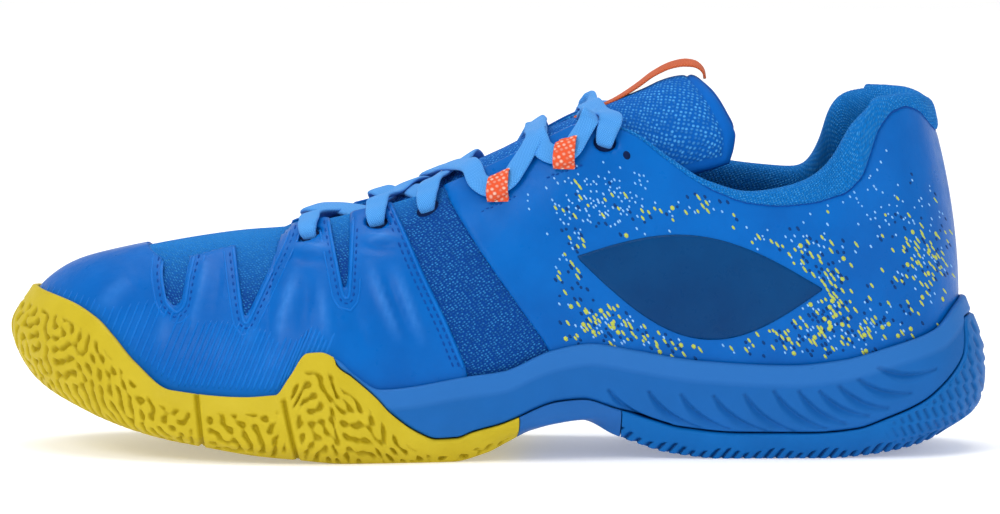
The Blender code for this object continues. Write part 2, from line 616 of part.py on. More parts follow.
def make_collar(parts, paint):
    """Collar foam and the knit lining that covers it down to the footbed."""
    ribs = around_heel(COLLAR_RIBS)
    padding = smooth([(0, 5), (3, 6), (7, 5), (9, 2.5)])
    thick = np.array([padding(abs(k)) for k in ribs])
    rows = list(range(5, ROWS))
    inner = [offset(0, ribs, [r])[:, 0] - side_by_side(ribs, r, GAP + thick * PAD_TAPER[r])
             for r in rows]
    foam = slab("collar_foam", offset(-GAP, ribs, rows), np.swapaxes(np.array(inner), 0, 1), parts)
    dress(foam, paint["foam"])
    under, over = [], []
    for r in range(1, ROWS):
        pad = GAP + thick * PAD_TAPER[r] if r in PAD_TAPER else 0 * thick
        depth = np.maximum(pad, GAP + 1.2) + GAP
        base = offset(0, ribs, [r])[:, 0]
        under.append(base - side_by_side(ribs, r, depth))
        over.append(base - side_by_side(ribs, r, depth + 0.9))
    lip = offset(BOOTIE_THICK, ribs, [ROWS - 1])[:, 0] + np.array([0, 0, 1.0])
    crown = (lip + under[-1]) / 2 + np.array([0, 0, 1.2])
    rise = np.array([0, 0, 1.6])
    under += [crown, lip]
    over += [crown + rise, lip + rise]
    lining = slab("collar_lining", np.swapaxes(np.array(under), 0, 1),
                  np.swapaxes(np.array(over), 0, 1), parts)
    dress(lining, paint["knit_lining"])


def side_by_side(ribs, row, depths):
    """One inward step for each rib of a row, along the wrap's normals."""
    return NORMALS[[k % RING for k in ribs], row] * depths[:, None]


# ---------------------------------------------------------------- tongue, lace and straps
def tongue_grid(across=9, along=13):
    """Top face of the tongue: half-oval sections from its sewn root to its free end."""
    height, half, fall, sweep = columns(TONGUE)
    grid = []
    for x in np.linspace(TONGUE[-1][0], TONGUE[0][0], along):
        row = []
        for q in np.linspace(-1, 1, across):
            bend = 1 - math.cos(q * math.pi / 2)
            row.append([x - sweep(x) * TONGUE_SWEEP(bend), half(x) * math.sin(q * math.pi / 2),
                        height(x) - fall(x) * bend])
        grid.append(row)
    grid = np.array(grid)
    normals = unit(np.cross(np.gradient(grid, axis=1), np.gradient(grid, axis=0)))
    return grid, normals if normals[along // 2, across // 2, 2] > 0 else -normals


def make_tongue(parts, paint):
    """Mesh face, foam and lining of the tongue, hung on its sewn root."""
    pivot = bpy.data.objects.new("tongue_pivot", None)
    pivot.location = [v * MM for v in TONGUE_PIVOT]
    parts.objects.link(pivot)
    grid, normals = tongue_grid()
    whole, trimmed = slice(None), slice(1, -1)
    for name, high, low, width, look in (("tongue_face", 0, 1.1, whole, "mesh_fabric"),
                                         ("tongue_foam", 1.4, 4.2, trimmed, "foam"),
                                         ("tongue_lining", 4.5, 5.4, whole, "knit_lining")):
        piece = slab(name, (grid - normals * high)[:, width], (grid - normals * low)[:, width],
                     parts)
        hang(dress(piece, paint[look]), pivot)
    height = columns(TONGUE)[0]
    path = [(-25, height(-25) + 0.8), (-31, height(-31) + 0.8), (-37.5, height(-37.5) + 0.8),
            (-42, 111.0), (-48, 115.6), (-54, 118.3), (-59, 119.2), (-63.8, 117.4)]
    stations = [((x, 0, z), (0, 1, 0), 5.5, 0.9) for x, z in path]
    strap = ribbon("pull_strap", stations, parts)
    hang(dress(strap, paint["orange_webbing"]), pivot)


def hang(thing, pivot):
    """Parent an object to a pivot without moving it."""
    thing.parent = pivot
    thing.matrix_parent_inverse.translation = -pivot.location
    return thing


def on_upper(side, share, down, lift):
    """A place on the upper: how far down from its top edge and how far above its inner face."""
    steps = np.linspace(1, 0.3, 141)
    line = rib(side, share, steps)
    run = np.concatenate(([0], np.cumsum(np.linalg.norm(np.diff(line, axis=0), axis=1))))
    t = float(np.interp(max(down, 0), run, steps))
    spot = rib(side, share, t) + min(down, 0) * unit(line[1] - line[0])
    along = unit(rib(side, share + 0.01, t) - rib(side, share - 0.01, t))
    fall = unit(rib(side, share, t - 0.01) - rib(side, share, min(t + 0.01, 1)))
    normal = unit(np.cross(along, fall))
    normal = normal if normal[2] > 0 else -normal
    return spot + normal * lift, along, fall, normal


def share_at(x):
    """Share of the rib whose top end lies at x along the eyestay."""
    shares = np.linspace(0.3, 0.69, 400)
    return float(np.interp(x, [top_point(LATERAL, s)[0] for s in shares], shares))


def ribbon(name, stations, collection, closed=False):
    """A flat band through (place, width direction, width, thickness) stations."""
    places = np.array([s[0] for s in stations], float)
    tangents = unit(np.gradient(places, axis=0))
    mesh = bmesh.new()
    rings = []
    for place, tangent, (_, wide, width, thick) in zip(places, tangents, stations):
        wide = np.array(wide, float)
        wide = unit(wide - tangent * np.dot(wide, tangent))
        high = np.cross(tangent, wide)
        corners = [(-0.5, 0), (-0.36, -0.5), (0.36, -0.5), (0.5, 0), (0.36, 0.5), (-0.36, 0.5)]
        rings.append([mesh.verts.new((place + wide * width * a + high * thick * b) * MM)
                      for a, b in corners])
    for low, high in zip(rings, rings[1:]):
        for k in range(6):
            mesh.faces.new([low[k], low[(k + 1) % 6], high[(k + 1) % 6], high[k]])
    mesh.faces.new(rings[0][::-1])
    mesh.faces.new(rings[-1])
    return finish(name, mesh, collection)


def thicken_path(stations, per_span):
    """More stations between the given ones, along a smooth curve."""
    places = np.array([s[0] for s in stations], float)
    wides = np.array([s[1] for s in stations], float)
    sizes = np.array([s[2:] for s in stations], float)
    chord = np.linalg.norm(np.diff(places, axis=0), axis=1)
    knots = np.concatenate(([0], np.cumsum(chord)))
    pace = np.gradient(places, knots, axis=0)
    found = []
    for k in range(len(places) - 1):
        for t in np.arange(per_span) / per_span:
            spot = ((1 + 2 * t) * (1 - t) ** 2 * places[k] + t * t * (3 - 2 * t) * places[k + 1]
                    + t * (1 - t) ** 2 * chord[k] * pace[k]
                    + t * t * (t - 1) * chord[k] * pace[k + 1])
            wide = unit(wides[k] * (1 - t) + wides[k + 1] * t)
            found.append((spot, wide, *(sizes[k] * (1 - t) + sizes[k + 1] * t)))
    return found + [stations[-1]]


def eyelet_turn(side, share, deep):
    """The lace coming out of an eyelet, from under the eyestay to above it."""
    turn = []
    for up, lift, width, thick in ((4.2, -1.7, 6.0, 1.1), (1.7, -1.6, 4.6, 1.0),
                                   (-0.7, 0.9, 3.4, 1.1), (0.9, 3.7, 4.6, 1.1),
                                   (deep - 1.2, 3.9, 6.8, 1.1)):
        spot, along, _, _ = on_upper(side, share, deep - up, lift)
        turn.append((spot, along, width, thick))
    return turn


def loop_turn(side, share):
    """The lace passing back under a webbing loop, flat on the eyestay."""
    turn = []
    for step, down, lift, lean in ((0.032, 1.2, 5.5, -1.6), (0.017, 6.0, 4.0, -0.8),
                                   (0.0, 7.6, 3.7, 0.0), (-0.017, 6.0, 4.0, 0.8),
                                   (-0.032, 1.2, 5.5, 1.6)):
        spot, along, fall, _ = on_upper(side, share + step, down, lift)
        turn.append((spot, unit(fall + lean * along), 5.4, LACE_THIN))
    return turn


def crossing(start, end, height):
    """The middle of a lace run over the tongue, between two turns."""
    places = [np.array(start[0]), np.array(end[0])]
    middle = (places[0] + places[1]) / 2
    run = unit(places[1] - places[0])
    middle[2] = columns(TONGUE)[0](middle[0]) + height
    return (middle, unit(np.cross(run, (0, 0, 1))), LACE_WIDE, LACE_THIN)


def aligned(stations):
    """Width directions turned so that none flips over against the one before it."""
    fixed = [stations[0]]
    for place, wide, width, thick in stations[1:]:
        wide = np.array(wide, float)
        if np.dot(wide, fixed[-1][1]) < 0:
            wide = -wide
        fixed.append((place, wide, width, thick))
    return fixed


def lace_half(first_side, height):
    """Half of the lace, from the bar at the first eyelets up to its tucked end."""
    shares = [share_at(x) for x in EYELETS_X]
    side = first_side
    path = list(eyelet_turn(side, shares[0], EYELET_DOWN[0]))
    for row in range(1, 6):
        side = -side
        if row in LOOP_ROWS:
            turn = loop_turn(side, shares[row])
        elif row == 5:
            turn = eyelet_turn(side, shares[row], EYELET_DOWN[row])[:1:-1]
        else:
            turn = eyelet_turn(side, shares[row], EYELET_DOWN[row])
        path.append(crossing(path[-1], turn[0], height))
        path += turn
    for step, down, lift, width in ((0.005, 7.0, -1.9, 3.0), (0.022, 8, -1.9, 4.4),
                                    (0.045, 8, -1.8, 4.4), (0.065, 8, -1.8, 4.4)):
        spot, _, fall, _ = on_upper(side, shares[5] + step, down, lift)
        path.append((spot, fall, width, LACE_THIN))
    return path, side


def make_lace(parts, paint):
    """One flat lace in a criss-cross, its two tips tucked under the eyestays."""
    outer, _ = lace_half(LATERAL, 3.4)
    inner, _ = lace_half(MEDIAL, 5.0)
    bar = crossing(outer[0], inner[0], 1.8)
    whole = aligned(outer[::-1] + [bar] + inner)
    lace = ribbon("lace", thicken_path(whole, 2), parts)
    dress(lace, paint["lace_textile"])
    for name, (path, side) in (("lateral", lace_half(MEDIAL, 0)), ("medial", lace_half(LATERAL, 0))):
        end = np.array(path[-1][0])
        run = unit(end - np.array(path[-2][0]))
        stations = [(end + run * d, path[-1][1], 3.0, 1.4) for d in (GAP, 8, 16)]
        dress(ribbon(f"aglet_{name}", stations, parts), paint["lace_tip"])


def make_loops(parts, paint):
    """Webbing loops sewn over the lace at the fourth and fifth places."""
    for row in LOOP_ROWS:
        for side, word in ((LATERAL, "lateral"), (MEDIAL, "medial")):
            share = share_at(EYELETS_X[row])
            stations = []
            for down, lift in ((14.9, 3.2), (13.0, 3.2), (12.2, 4.4), (11.4, 5.3), (7.6, 5.6),
                               (4.2, 5.3), (3.5, 4.4), (2.8, 3.3), (1.8, 3.2)):
                spot, along, _, _ = on_upper(side, share, down, lift)
                stations.append((spot, along, 7.0, 0.8))
            loop = ribbon(f"lace_loop_{word}_{row + 1}", stations, parts)
            dress(loop, paint["orange_webbing"])


def punch_eyelets(cutters):
    """Round cutters through the upper at the punched eyelets."""
    made = []
    for row, x in enumerate(EYELETS_X):
        if row in LOOP_ROWS:
            continue
        for side in (LATERAL, MEDIAL):
            spot, along, fall, normal = on_upper(side, share_at(x), EYELET_DOWN[row], 0)
            mesh = bmesh.new()
            rings = []
            for lift in (-5, 8):
                ring = []
                for k in range(8):
                    turn = 2 * math.pi * k / 8
                    p = spot + EYELET_RADIUS * (along * math.cos(turn) + fall * math.sin(turn))
                    ring.append(mesh.verts.new((p + normal * lift) * MM))
                rings.append(ring)
            mesh.faces.new(rings[0])
            mesh.faces.new(rings[1])
            for k in range(8):
                n = (k + 1) % 8
                mesh.faces.new([rings[0][k], rings[0][n], rings[1][n], rings[1][k]])
            made.append(finish(f"cutter_eyelet_{row}_{side}", mesh, cutters))
    return made


# ---------------------------------------------------------------- main
def clear():
    for thing in list(bpy.data.objects):
        bpy.data.objects.remove(thing, do_unlink=True)


def main():
    clear()
    parts = bpy.data.collections.new("court_shoe")
    cutters = bpy.data.collections.new("cutters")
    for group in (parts, cutters):
        bpy.context.scene.collection.children.link(group)
    paint = {
        "blue_film": material("blue_film", (0.01, 0.14, 0.56), 0.42),
        "mesh_fabric": material("mesh_fabric", (0.01, 0.07, 0.32), 0.8),
        "navy_film": material("navy_film", (0.01, 0.05, 0.2), 0.35),
        "midsole_foam": material("midsole_foam", (0.02, 0.17, 0.52), 0.6),
        "yellow_rubber": material("yellow_rubber", (0.75, 0.62, 0.02), 0.55),
        "blue_rubber": material("blue_rubber", (0.02, 0.12, 0.42), 0.6),
        "shank_plastic": material("shank_plastic", (0.05, 0.09, 0.35), 0.4),
        "board_felt": material("board_felt", (0.6, 0.6, 0.58), 0.9),
        "insole_foam": material("insole_foam", (0.02, 0.1, 0.4), 0.85),
        "foam": material("foam", (0.7, 0.7, 0.6), 0.9),
        "knit_lining": material("knit_lining", (0.06, 0.27, 0.72), 0.85),
        "counter_plastic": material("counter_plastic", (0.75, 0.75, 0.72), 0.5),
        "lace_textile": material("lace_textile", (0.1, 0.34, 0.8), 0.8),
        "orange_webbing": material("orange_webbing", (0.75, 0.1, 0.03), 0.75),
        "lace_tip": material("lace_tip", (0.1, 0.34, 0.8), 0.3),
    }
    make_sole(parts, cutters, paint)
    make_board(parts, paint)
    make_insole(parts, paint)
    make_bootie(parts, paint)
    make_films(parts, cutters, paint)
    for cutter in punch_eyelets(cutters):
        for name in ("mesh_bootie", "forefoot_overlay", "quarter_lateral", "quarter_medial"):
            boolean(parts.objects[name], cutter, "DIFFERENCE")
    make_tongue(parts, paint)
    make_lace(parts, paint)
    make_loops(parts, paint)
    make_stiffeners(parts, paint)
    make_collar(parts, paint)
    for cutter in cutters.objects:
        cutter.hide_render = True
        cutter.display_type = "WIRE"
    centre = bpy.data.objects.new("shoe_origin", None)
    parts.objects.link(centre)
    for thing in [*parts.objects, *cutters.objects]:
        if thing.parent is None and thing is not centre:
            thing.parent = centre
    centre.location = [v * MM for v in SHIFT]


main()
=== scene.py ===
"""Looks for the court shoe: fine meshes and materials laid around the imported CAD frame.

Places are worked out in millimetres in the shoe's own axes (+X toe, +Y outer side, +Z up)
and moved into the frame by `to_world`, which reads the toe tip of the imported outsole.
The upper is a fan of ribs from the footbed to its top line. A rib is named by its side and
its share of the way from the heel's middle (0) to the toe's (1), and films, collar, stitches
and lace are laid on them.
"""
import math

import bmesh
import bpy
import numpy as np
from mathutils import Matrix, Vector
from mathutils.bvhtree import BVHTree


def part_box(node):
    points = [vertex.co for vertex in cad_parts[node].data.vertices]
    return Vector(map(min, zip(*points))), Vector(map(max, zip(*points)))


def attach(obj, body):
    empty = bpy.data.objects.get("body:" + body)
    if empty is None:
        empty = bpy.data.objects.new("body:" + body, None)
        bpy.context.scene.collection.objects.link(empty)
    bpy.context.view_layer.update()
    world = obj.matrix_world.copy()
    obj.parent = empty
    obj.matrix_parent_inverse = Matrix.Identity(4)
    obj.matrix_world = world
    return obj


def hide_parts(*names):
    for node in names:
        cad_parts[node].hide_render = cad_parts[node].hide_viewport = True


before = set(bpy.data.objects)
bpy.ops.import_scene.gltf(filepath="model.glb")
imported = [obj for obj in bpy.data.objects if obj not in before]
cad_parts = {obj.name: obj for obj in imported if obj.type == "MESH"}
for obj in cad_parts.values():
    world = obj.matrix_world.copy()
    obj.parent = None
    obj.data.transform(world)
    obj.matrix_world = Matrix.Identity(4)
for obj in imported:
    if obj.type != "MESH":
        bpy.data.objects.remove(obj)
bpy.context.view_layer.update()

MM = 0.001
LATERAL, MEDIAL = 1, -1
TOE_TIP_X = 150.0
SIDE_SHIFT_Y = -1.575     # the frame is centred between the sole's widest points
SHIFT = np.array([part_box("outsole_forefoot")[1][0] / MM - TOE_TIP_X, SIDE_SHIFT_Y, 0.0])
RANDOM = np.random.default_rng(7)

RIBS = 234                # fine ribs between heel centre and toe centre, one side
ROWS = 76                 # grid points up each rib
MESH_OUT = 1.4            # outer face of the knit upper, above its inner face
FILM_IN = 1.45            # inner face of the film skins
FILM_OUT = 2.4            # outer face of the film skins
LEAF_OUT = 2.97           # outer face of the leaf panels on the film
NO_LIMIT = 99.0           # a height or distance beyond everything on the shoe
BELOW_SOLE = -9.0         # a height under everything on the shoe

# Plan outline (x, y) from the heel's middle along the outer side, round the toe and back.
OUTLINE = [(-139, 0), (-131, 20), (-112, 29.5), (-80, 32.5), (-40, 34.5), (0, 41), (30, 47.5),
           (55, 50), (80, 47), (102, 39), (122, 25), (137, 8), (144, -11),
           (137, -29), (122, -40), (102, -45.5), (80, -47), (55, -45.5), (30, -40), (0, -33),
           (-40, -29.5), (-80, -31.5), (-112, -29.5), (-131, -20)]
TOE_POINT = 12
# Top line (share, x, y, z) up to the vamp, and the spine where its two sides meet in front.
TOP_LATERAL = [(0, -130.5, 0, 106.5), (0.045, -127, 12, 108), (0.09, -118.5, 21.5, 107.5),
               (0.13, -109.5, 26, 100.5), (0.17, -101, 28.5, 87.5), (0.21, -91, 30, 82),
               (0.26, -77, 30.5, 80), (0.305, -64, 30, 83.5), (0.34, -52, 28, 91),
               (0.375, -41, 25.5, 98.5), (0.41, -30, 23, 101.5), (0.455, -15, 21, 95.5),
               (0.50, -1, 19.5, 88.5), (0.55, 17, 18, 80.5), (0.60, 36, 16.5, 74.5),
               (0.645, 52, 13.5, 70.5), (0.672, 60, 8.5, 68.4)]
TOP_MEDIAL_REAR = [(0.045, -125, -12.5, 108.4), (0.09, -112.5, -22, 108),
                   (0.13, -104.4, -26, 101.8), (0.17, -99.6, -28.5, 89.5),
                   (0.21, -93, -30, 82.6)]
TOP_MEDIAL_RISE = 4.0     # how much higher the inner side's dip by the ankle is
SPINE = [(9 / 13, 65, 0, 67), (0.75, 77, -0.5, 66), (0.82, 91, -1.5, 64),
         (0.90, 105, -3, 61.2), (1, 117, -5, 58)]
# Rib shape (share, rise over the footbed, reach of the top's handle, its drop).
RIB_HANDLES = [(0, 26, 7.5, 22), (0.15, 24, 4.0, 20), (0.30, 26, 6, 16), (0.42, 27, 11, 11),
               (0.55, 24, 14, 8), (0.68, 22, 20, 3), (0.75, 20, 22, 0.3), (0.88, 16, 18, 0.3),
               (1, 13, 16, 0.3)]
# Side-view heights (x, z): footbed, underside, and where the upper leaves the sole.
FOOTBED = [(-140, 23), (-60, 22.5), (-30, 21), (0, 17), (30, 13.5), (60, 12), (88, 14),
           (115, 19.5), (130, 25), (145, 31)]
UNDERSIDE = [(-150, 14), (-146, 10), (-138, 6), (-126, 2.6), (-113, 0.8), (-100, 0), (-70, 0),
             (-52, 2), (-43, 4.9), (-36, 7.6), (-26, 12.3), (-10.7, 9.4), (-3, 5.6), (3, 2.6),
             (14, 0), (46, 0), (61, 1.2), (73, 2.2), (91, 4.8), (101, 6.3), (122, 11.4),
             (135, 17.5), (150, 30)]
EDGE_LATERAL = [(-141, 49.5), (-137, 45.5), (-131, 39), (-120, 35), (-105, 31), (-90, 29.6),
                (-62, 31), (-42, 34), (-28, 36), (-16, 34), (-1, 28), (9, 26.7), (36, 23),
                (44, 27), (49, 31), (54, 33), (58, 32.6), (63, 26), (67, 21), (76, 20.3),
                (98, 22), (109, 29), (117, 36), (123, 40.5), (132, 44.5), (145, 47.5)]
EDGE_MEDIAL = [(-141, 49.5), (-137, 45.5), (-131, 39), (-120, 35), (-105, 32), (-90, 31.5),
               (-62, 33), (-42, 36), (-20, 37), (0, 31), (20, 26), (40, 23.5), (60, 22),
               (86, 22), (98, 24), (109, 29), (117, 35), (132, 43), (145, 47.5)]
# Sole wall: how far its foot, belly and shoulder stand out (share, mm, mm, mm), and the
# heights of belly and shoulder.
SOLE_WALL = [(0, -2, 9.5, 11.5), (0.08, 1, 9, 10), (0.16, 3, 7, 6.5), (0.35, 2, 6, 5.5),
             (0.50, 1.5, 6, 6), (0.66, 2, 7, 7), (0.80, 0, 5.5, 6.5), (0.90, -4, 3, 6),
             (1, -8, -0.5, 6)]
SOLE_LEVELS = [(0, 14, 29), (0.08, 11, 26), (0.16, 7, 18), (0.35, 14, 22), (0.50, 9, 17),
               (0.66, 6, 14), (0.80, 10, 16), (0.90, 17, 29), (1, 24, 37)]
# Lace rows, from the toe back.
EYELETS_X = [56, 35.5, 19.5, -4.5, -24.5, -35]
EYELET_DOWN = [9.5, 8.5, 7.8, 0, 0, 6.0]   # from the top edge down to each eyelet
LOOP_ROWS = (3, 4)
# Tongue (x, height, half width, fall at its edges, how far they sweep back).
TONGUE = [(-62.5, 115.8, 19, 27, 11.5), (-56, 114.8, 21, 28, 11), (-45, 110, 23, 27, 6),
          (-30, 103.8, 25.5, 26, 4), (-15, 97.4, 27.5, 26, 2), (-1, 91.2, 28, 25, 1),
          (17, 82.9, 27, 24, 0), (34, 75.8, 24, 19, 0), (50, 69.0, 19, 13, 0),
          (60, 65.4, 14, 7, 0), (66, 64.3, 10, 3, 0), (72, 64.2, 8, 1, 0)]

# Side outlines (x, z) of what is laid on the upper.
OVERLAY_REAR = [(40, 150), (33, 78.5), (28, 69), (22.5, 57), (15.5, 42.7), (9.5, 28.5), (6, 0),
                (-250, 0), (-250, 150)]
WINDOWS = [[(101.5, 90), (101, 66), (102.6, 56), (101, 48), (98.2, 45), (96, 47), (94.9, 55),
            (92.1, 66), (92.1, 90)],
           [(80.7, 90), (80.7, 66), (77.6, 46), (76.6, 42.2), (75.2, 45), (63.6, 69), (62, 90)],
           [(52.2, 100), (51.6, 74), (46.6, 51.5), (45.8, 50.2), (45.4, 52), (44.4, 75),
            (44.4, 100)]]
VAMP_MESH = [(62, 9), (76, 13), (90, 15), (101, 15), (106, 6), (107.5, -3), (106, -12),
             (101, -20), (90, -20), (76, -17), (62, -9)]
QUARTER_FRONT = [(22, 100), (17.5, 84), (13.2, 76.2), (5.1, 63.5), (-6, 48), (-16, 34), (-22, 0),
                 (200, 0), (200, 100)]
COLLAR_SEAM = [(-24, 150), (-33, 105), (-42, 99.8), (-54, 91), (-64, 82.8), (-75, 78.3),
               (-86, 77), (-98, 78), (-107, 81), (-111.5, 86), (-113.5, 92), (-116, 100),
               (-119.5, 105), (-124, 106.5), (-128, 104.5), (-132, 99), (-135.5, 95),
               (-250, 95), (-250, 150)]


# ---------------------------------------------------------------- numeric helpers
def hermite(t, start, end, leave, arrive):
    """Cubic from start to end, leaving and arriving with the given slopes per span."""
    return ((1 + 2 * t) * (1 - t) ** 2 * start + t * (1 - t) ** 2 * leave
            + t * t * (3 - 2 * t) * end + t * t * (t - 1) * arrive)


def run_along(path):
    """Distance along a path at each of its points."""
    steps = np.linalg.norm(np.diff(path, axis=0), axis=1)
    return np.concatenate(([0], np.cumsum(steps)))


def grid_runs(grid, axis):
    """Distance along each line of a grid, in one of its two directions."""
    steps = np.linalg.norm(np.diff(grid, axis=axis), axis=2)
    return np.concatenate((0 * np.take(steps, [0], axis), np.cumsum(steps, axis)), axis)


def smooth(points):
    """A function that runs smoothly through (x, value) points and never overshoots them."""
    xs, ys = np.array(points, float).T
    step = np.diff(xs)
    slope = np.diff(ys) / step
    tangent = np.concatenate(([slope[0]], np.zeros(len(xs) - 2), [slope[-1]]))
    for k in range(1, len(xs) - 1):
        if slope[k - 1] * slope[k] > 0:
            tangent[k] = 2 * slope[k - 1] * slope[k] / (slope[k - 1] + slope[k])

    def value(x):
        x = np.clip(x, xs[0], xs[-1])
        k = np.clip(np.searchsorted(xs, x) - 1, 0, len(step) - 1)
        return hermite((x - xs[k]) / step[k], ys[k], ys[k + 1], step[k] * tangent[k],
                       step[k] * tangent[k + 1])
    return value


def columns(table):
    """A smooth function of a table's first column for each of its others."""
    return [smooth([(row[0], row[c]) for row in table]) for c in range(1, len(table[0]))]


def unit(v):
    return v / np.maximum(np.linalg.norm(v, axis=-1, keepdims=True), 1e-9)


def side_curve(side, per_span=32):
    """Heel-to-toe half of the plan outline as points at shares of its length."""
    knots = np.array(OUTLINE, float)
    ahead, behind = np.roll(knots, -1, 0), np.roll(knots, 1, 0)
    span = np.linalg.norm(ahead - knots, axis=1)
    pace = (ahead - behind) / (span + np.roll(span, 1))[:, None]
    found = []
    for k in range(len(knots)):
        n = (k + 1) % len(knots)
        for t in np.arange(per_span) / per_span:
            found.append(hermite(t, knots[k], knots[n], span[k] * pace[k], span[k] * pace[n]))
    curve, toe = np.array(found), TOE_POINT * per_span
    half = curve[:toe + 1] if side == LATERAL else np.vstack([curve[toe:], curve[:1]])[::-1]
    length = run_along(half)
    return length / length[-1], half


SIDES = {LATERAL: side_curve(LATERAL), MEDIAL: side_curve(MEDIAL)}
FOOTBED_Z = smooth(FOOTBED)
UNDERSIDE_Z = smooth(UNDERSIDE)
EDGE_Z = {LATERAL: smooth(EDGE_LATERAL), MEDIAL: smooth(EDGE_MEDIAL)}
TOP_MEDIAL = TOP_LATERAL[:1] + TOP_MEDIAL_REAR + [
    (s, x, -y, z + TOP_MEDIAL_RISE * math.exp(-((x + 78) / 28) ** 2))
    for s, x, y, z in TOP_LATERAL if s > TOP_MEDIAL_REAR[-1][0]]
TOP = {LATERAL: columns(TOP_LATERAL + SPINE[:1]), MEDIAL: columns(TOP_MEDIAL + SPINE[:1])}
SPINE_LINE = columns(SPINE)
HANDLES = columns(RIB_HANDLES)
WALL = columns(SOLE_WALL)
LEVELS = columns(SOLE_LEVELS)
TONGUE_LINES = columns(TONGUE)
TONGUE_SWEEP = smooth([(0, 0), (0.2, 0.45), (0.43, 0.78), (0.65, 1), (0.8, 0.97), (1, 0.85)])


def plan(side, share):
    """Outline point and outward direction at a share of the way from heel to toe."""
    shares, half = SIDES[side]
    spot = np.array([np.interp(share, shares, half[:, c]) for c in (0, 1)])
    if share < 1e-6 or share > 1 - 1e-6:
        return spot, np.array([-1.0 if share < 0.5 else 1.0, 0.0])
    near = [np.array([np.interp(share + d, shares, half[:, c]) for c in (0, 1)])
            for d in (-0.01, 0.01)]
    along = near[1] - near[0]
    out = np.array([-along[1], along[0]]) * side
    return spot, out / np.linalg.norm(out)


def top_point(side, share):
    line = SPINE_LINE if share >= SPINE[0][0] else TOP[side]
    return np.array([f(share) for f in line])


def rib(side, share, t):
    """Point on the inner face of the upper: t runs from the footbed (0) to the top line (1)."""
    spot, out = plan(side, share)
    rise, reach, drop = (f(share) for f in HANDLES)
    top = top_point(side, share)
    floor = FOOTBED_Z(spot[0]) + 0.3
    toward = unit(spot - top[:2])
    corners = np.array([[*(spot - out), floor], [*(spot + 4.5 * out), floor + rise],
                        [*(top[:2] + reach * toward), top[2] - drop], top])
    t = np.asarray(t, float)[..., None]
    return ((1 - t) ** 3 * corners[0] + 3 * t * (1 - t) ** 2 * corners[1]
            + 3 * t * t * (1 - t) * corners[2] + t ** 3 * corners[3])


def edge_share(side, share):
    """Where on its rib the upper leaves the sole."""
    steps = np.linspace(0, 1, 201)
    heights = rib(side, share, steps)[:, 2]
    return float(np.interp(EDGE_Z[side](plan(side, share)[0][0]), heights[:160], steps[:160]))


def wrap_normals(grid):
    """Outward vertex normals of the closed grid, shared along the vamp's centre line."""
    ahead = np.roll(grid, -1, 0)
    cell = np.cross(ahead[:, 1:] - grid[:, :-1], grid[:, 1:] - ahead[:, :-1])
    total = np.zeros_like(grid)
    for shift_k, shift_r in ((0, 0), (1, 0), (1, 1), (0, 1)):
        moved = np.roll(cell, shift_k, 0)
        total[:, shift_r:shift_r + cell.shape[1]] += moved
    ring = len(grid)
    for k in range(int(RIBS * SPINE[0][0]), RIBS):
        both = total[k, -1] + total[ring - k, -1]
        total[k, -1] = total[ring - k, -1] = both
    normals = unit(total)
    return normals if normals[0, 4, 0] < 0 else -normals


def make_wrap(low=0.5):
    """The upper's inner face as a fine closed grid from inside the sole's lip to its top line."""
    loop = [(LATERAL, k / RIBS) for k in range(RIBS + 1)]
    loop += [(MEDIAL, k / RIBS) for k in range(RIBS - 1, 0, -1)]
    grid = []
    for side, share in loop:
        start = edge_share(side, share) * low
        grid.append(rib(side, share, start + (1 - start) * np.linspace(0, 1, ROWS) ** 0.9))
    return loop, np.array(grid)


LOOP, GRID = make_wrap()
NORMALS = wrap_normals(GRID)
RING = len(GRID)


def to_world(points):
    return (np.asarray(points, float) + SHIFT) * MM


FLAT = GRID.reshape(-1, 3)
FLAT_N = NORMALS.reshape(-1, 3)
SIDE_VIEW = FLAT[:, [0, 2]]
ARC = grid_runs(GRID, 1)
OPEN_TOP = np.array([share < SPINE[0][0] for _, share in LOOP])
TOP_GAP = np.where(OPEN_TOP[:, None], ARC[:, -1:] - ARC + 0.05, NO_LIMIT).reshape(-1)


# ---------------------------------------------------------------- mesh helpers
def add_object(name, verts, faces, looks, uv=None, pick=None):
    """A mesh object from points in the shoe's millimetres, welded and turned outward."""
    mesh = bpy.data.meshes.new(name)
    mesh.from_pydata([tuple(v) for v in to_world(verts)], [], faces)
    if uv is not None:
        layer = mesh.uv_layers.new(name="thread")
        corners = np.zeros(len(mesh.loops), np.int32)
        mesh.loops.foreach_get("vertex_index", corners)
        layer.data.foreach_set("uv", np.asarray(uv, np.float32)[corners].reshape(-1))
    if pick is not None:
        mesh.polygons.foreach_set("material_index", np.asarray(pick, np.int32))
    made = bmesh.new()
    made.from_mesh(mesh)
    bmesh.ops.remove_doubles(made, verts=made.verts, dist=2e-6)
    bmesh.ops.recalc_face_normals(made, faces=made.faces)
    made.to_mesh(mesh)
    made.free()
    mesh.polygons.foreach_set("use_smooth", np.ones(len(mesh.polygons), bool))
    for look in looks:
        mesh.materials.append(PAINT[look])
    thing = bpy.data.objects.new(name, mesh)
    bpy.context.scene.collection.objects.link(thing)
    return thing


def place(thing, body, slot, *nodes):
    """Ride a body and stand for CAD nodes; the slot is not used."""
    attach(thing, body)
    if nodes:
        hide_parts(*nodes)
    return thing


def loft(rings):
    """Points and faces of a closed tube through rings of the same size."""
    rings = np.asarray(rings, float)
    count, size = rings.shape[:2]
    faces = []
    for a in range(0, (count - 1) * size, size):
        for j in range(size):
            n = (j + 1) % size
            faces.append((a + j, a + n, a + size + n, a + size + j))
    faces.append(tuple(range(size))[::-1])
    faces.append(tuple(range((count - 1) * size, count * size)))
    return rings.reshape(-1, 3), faces


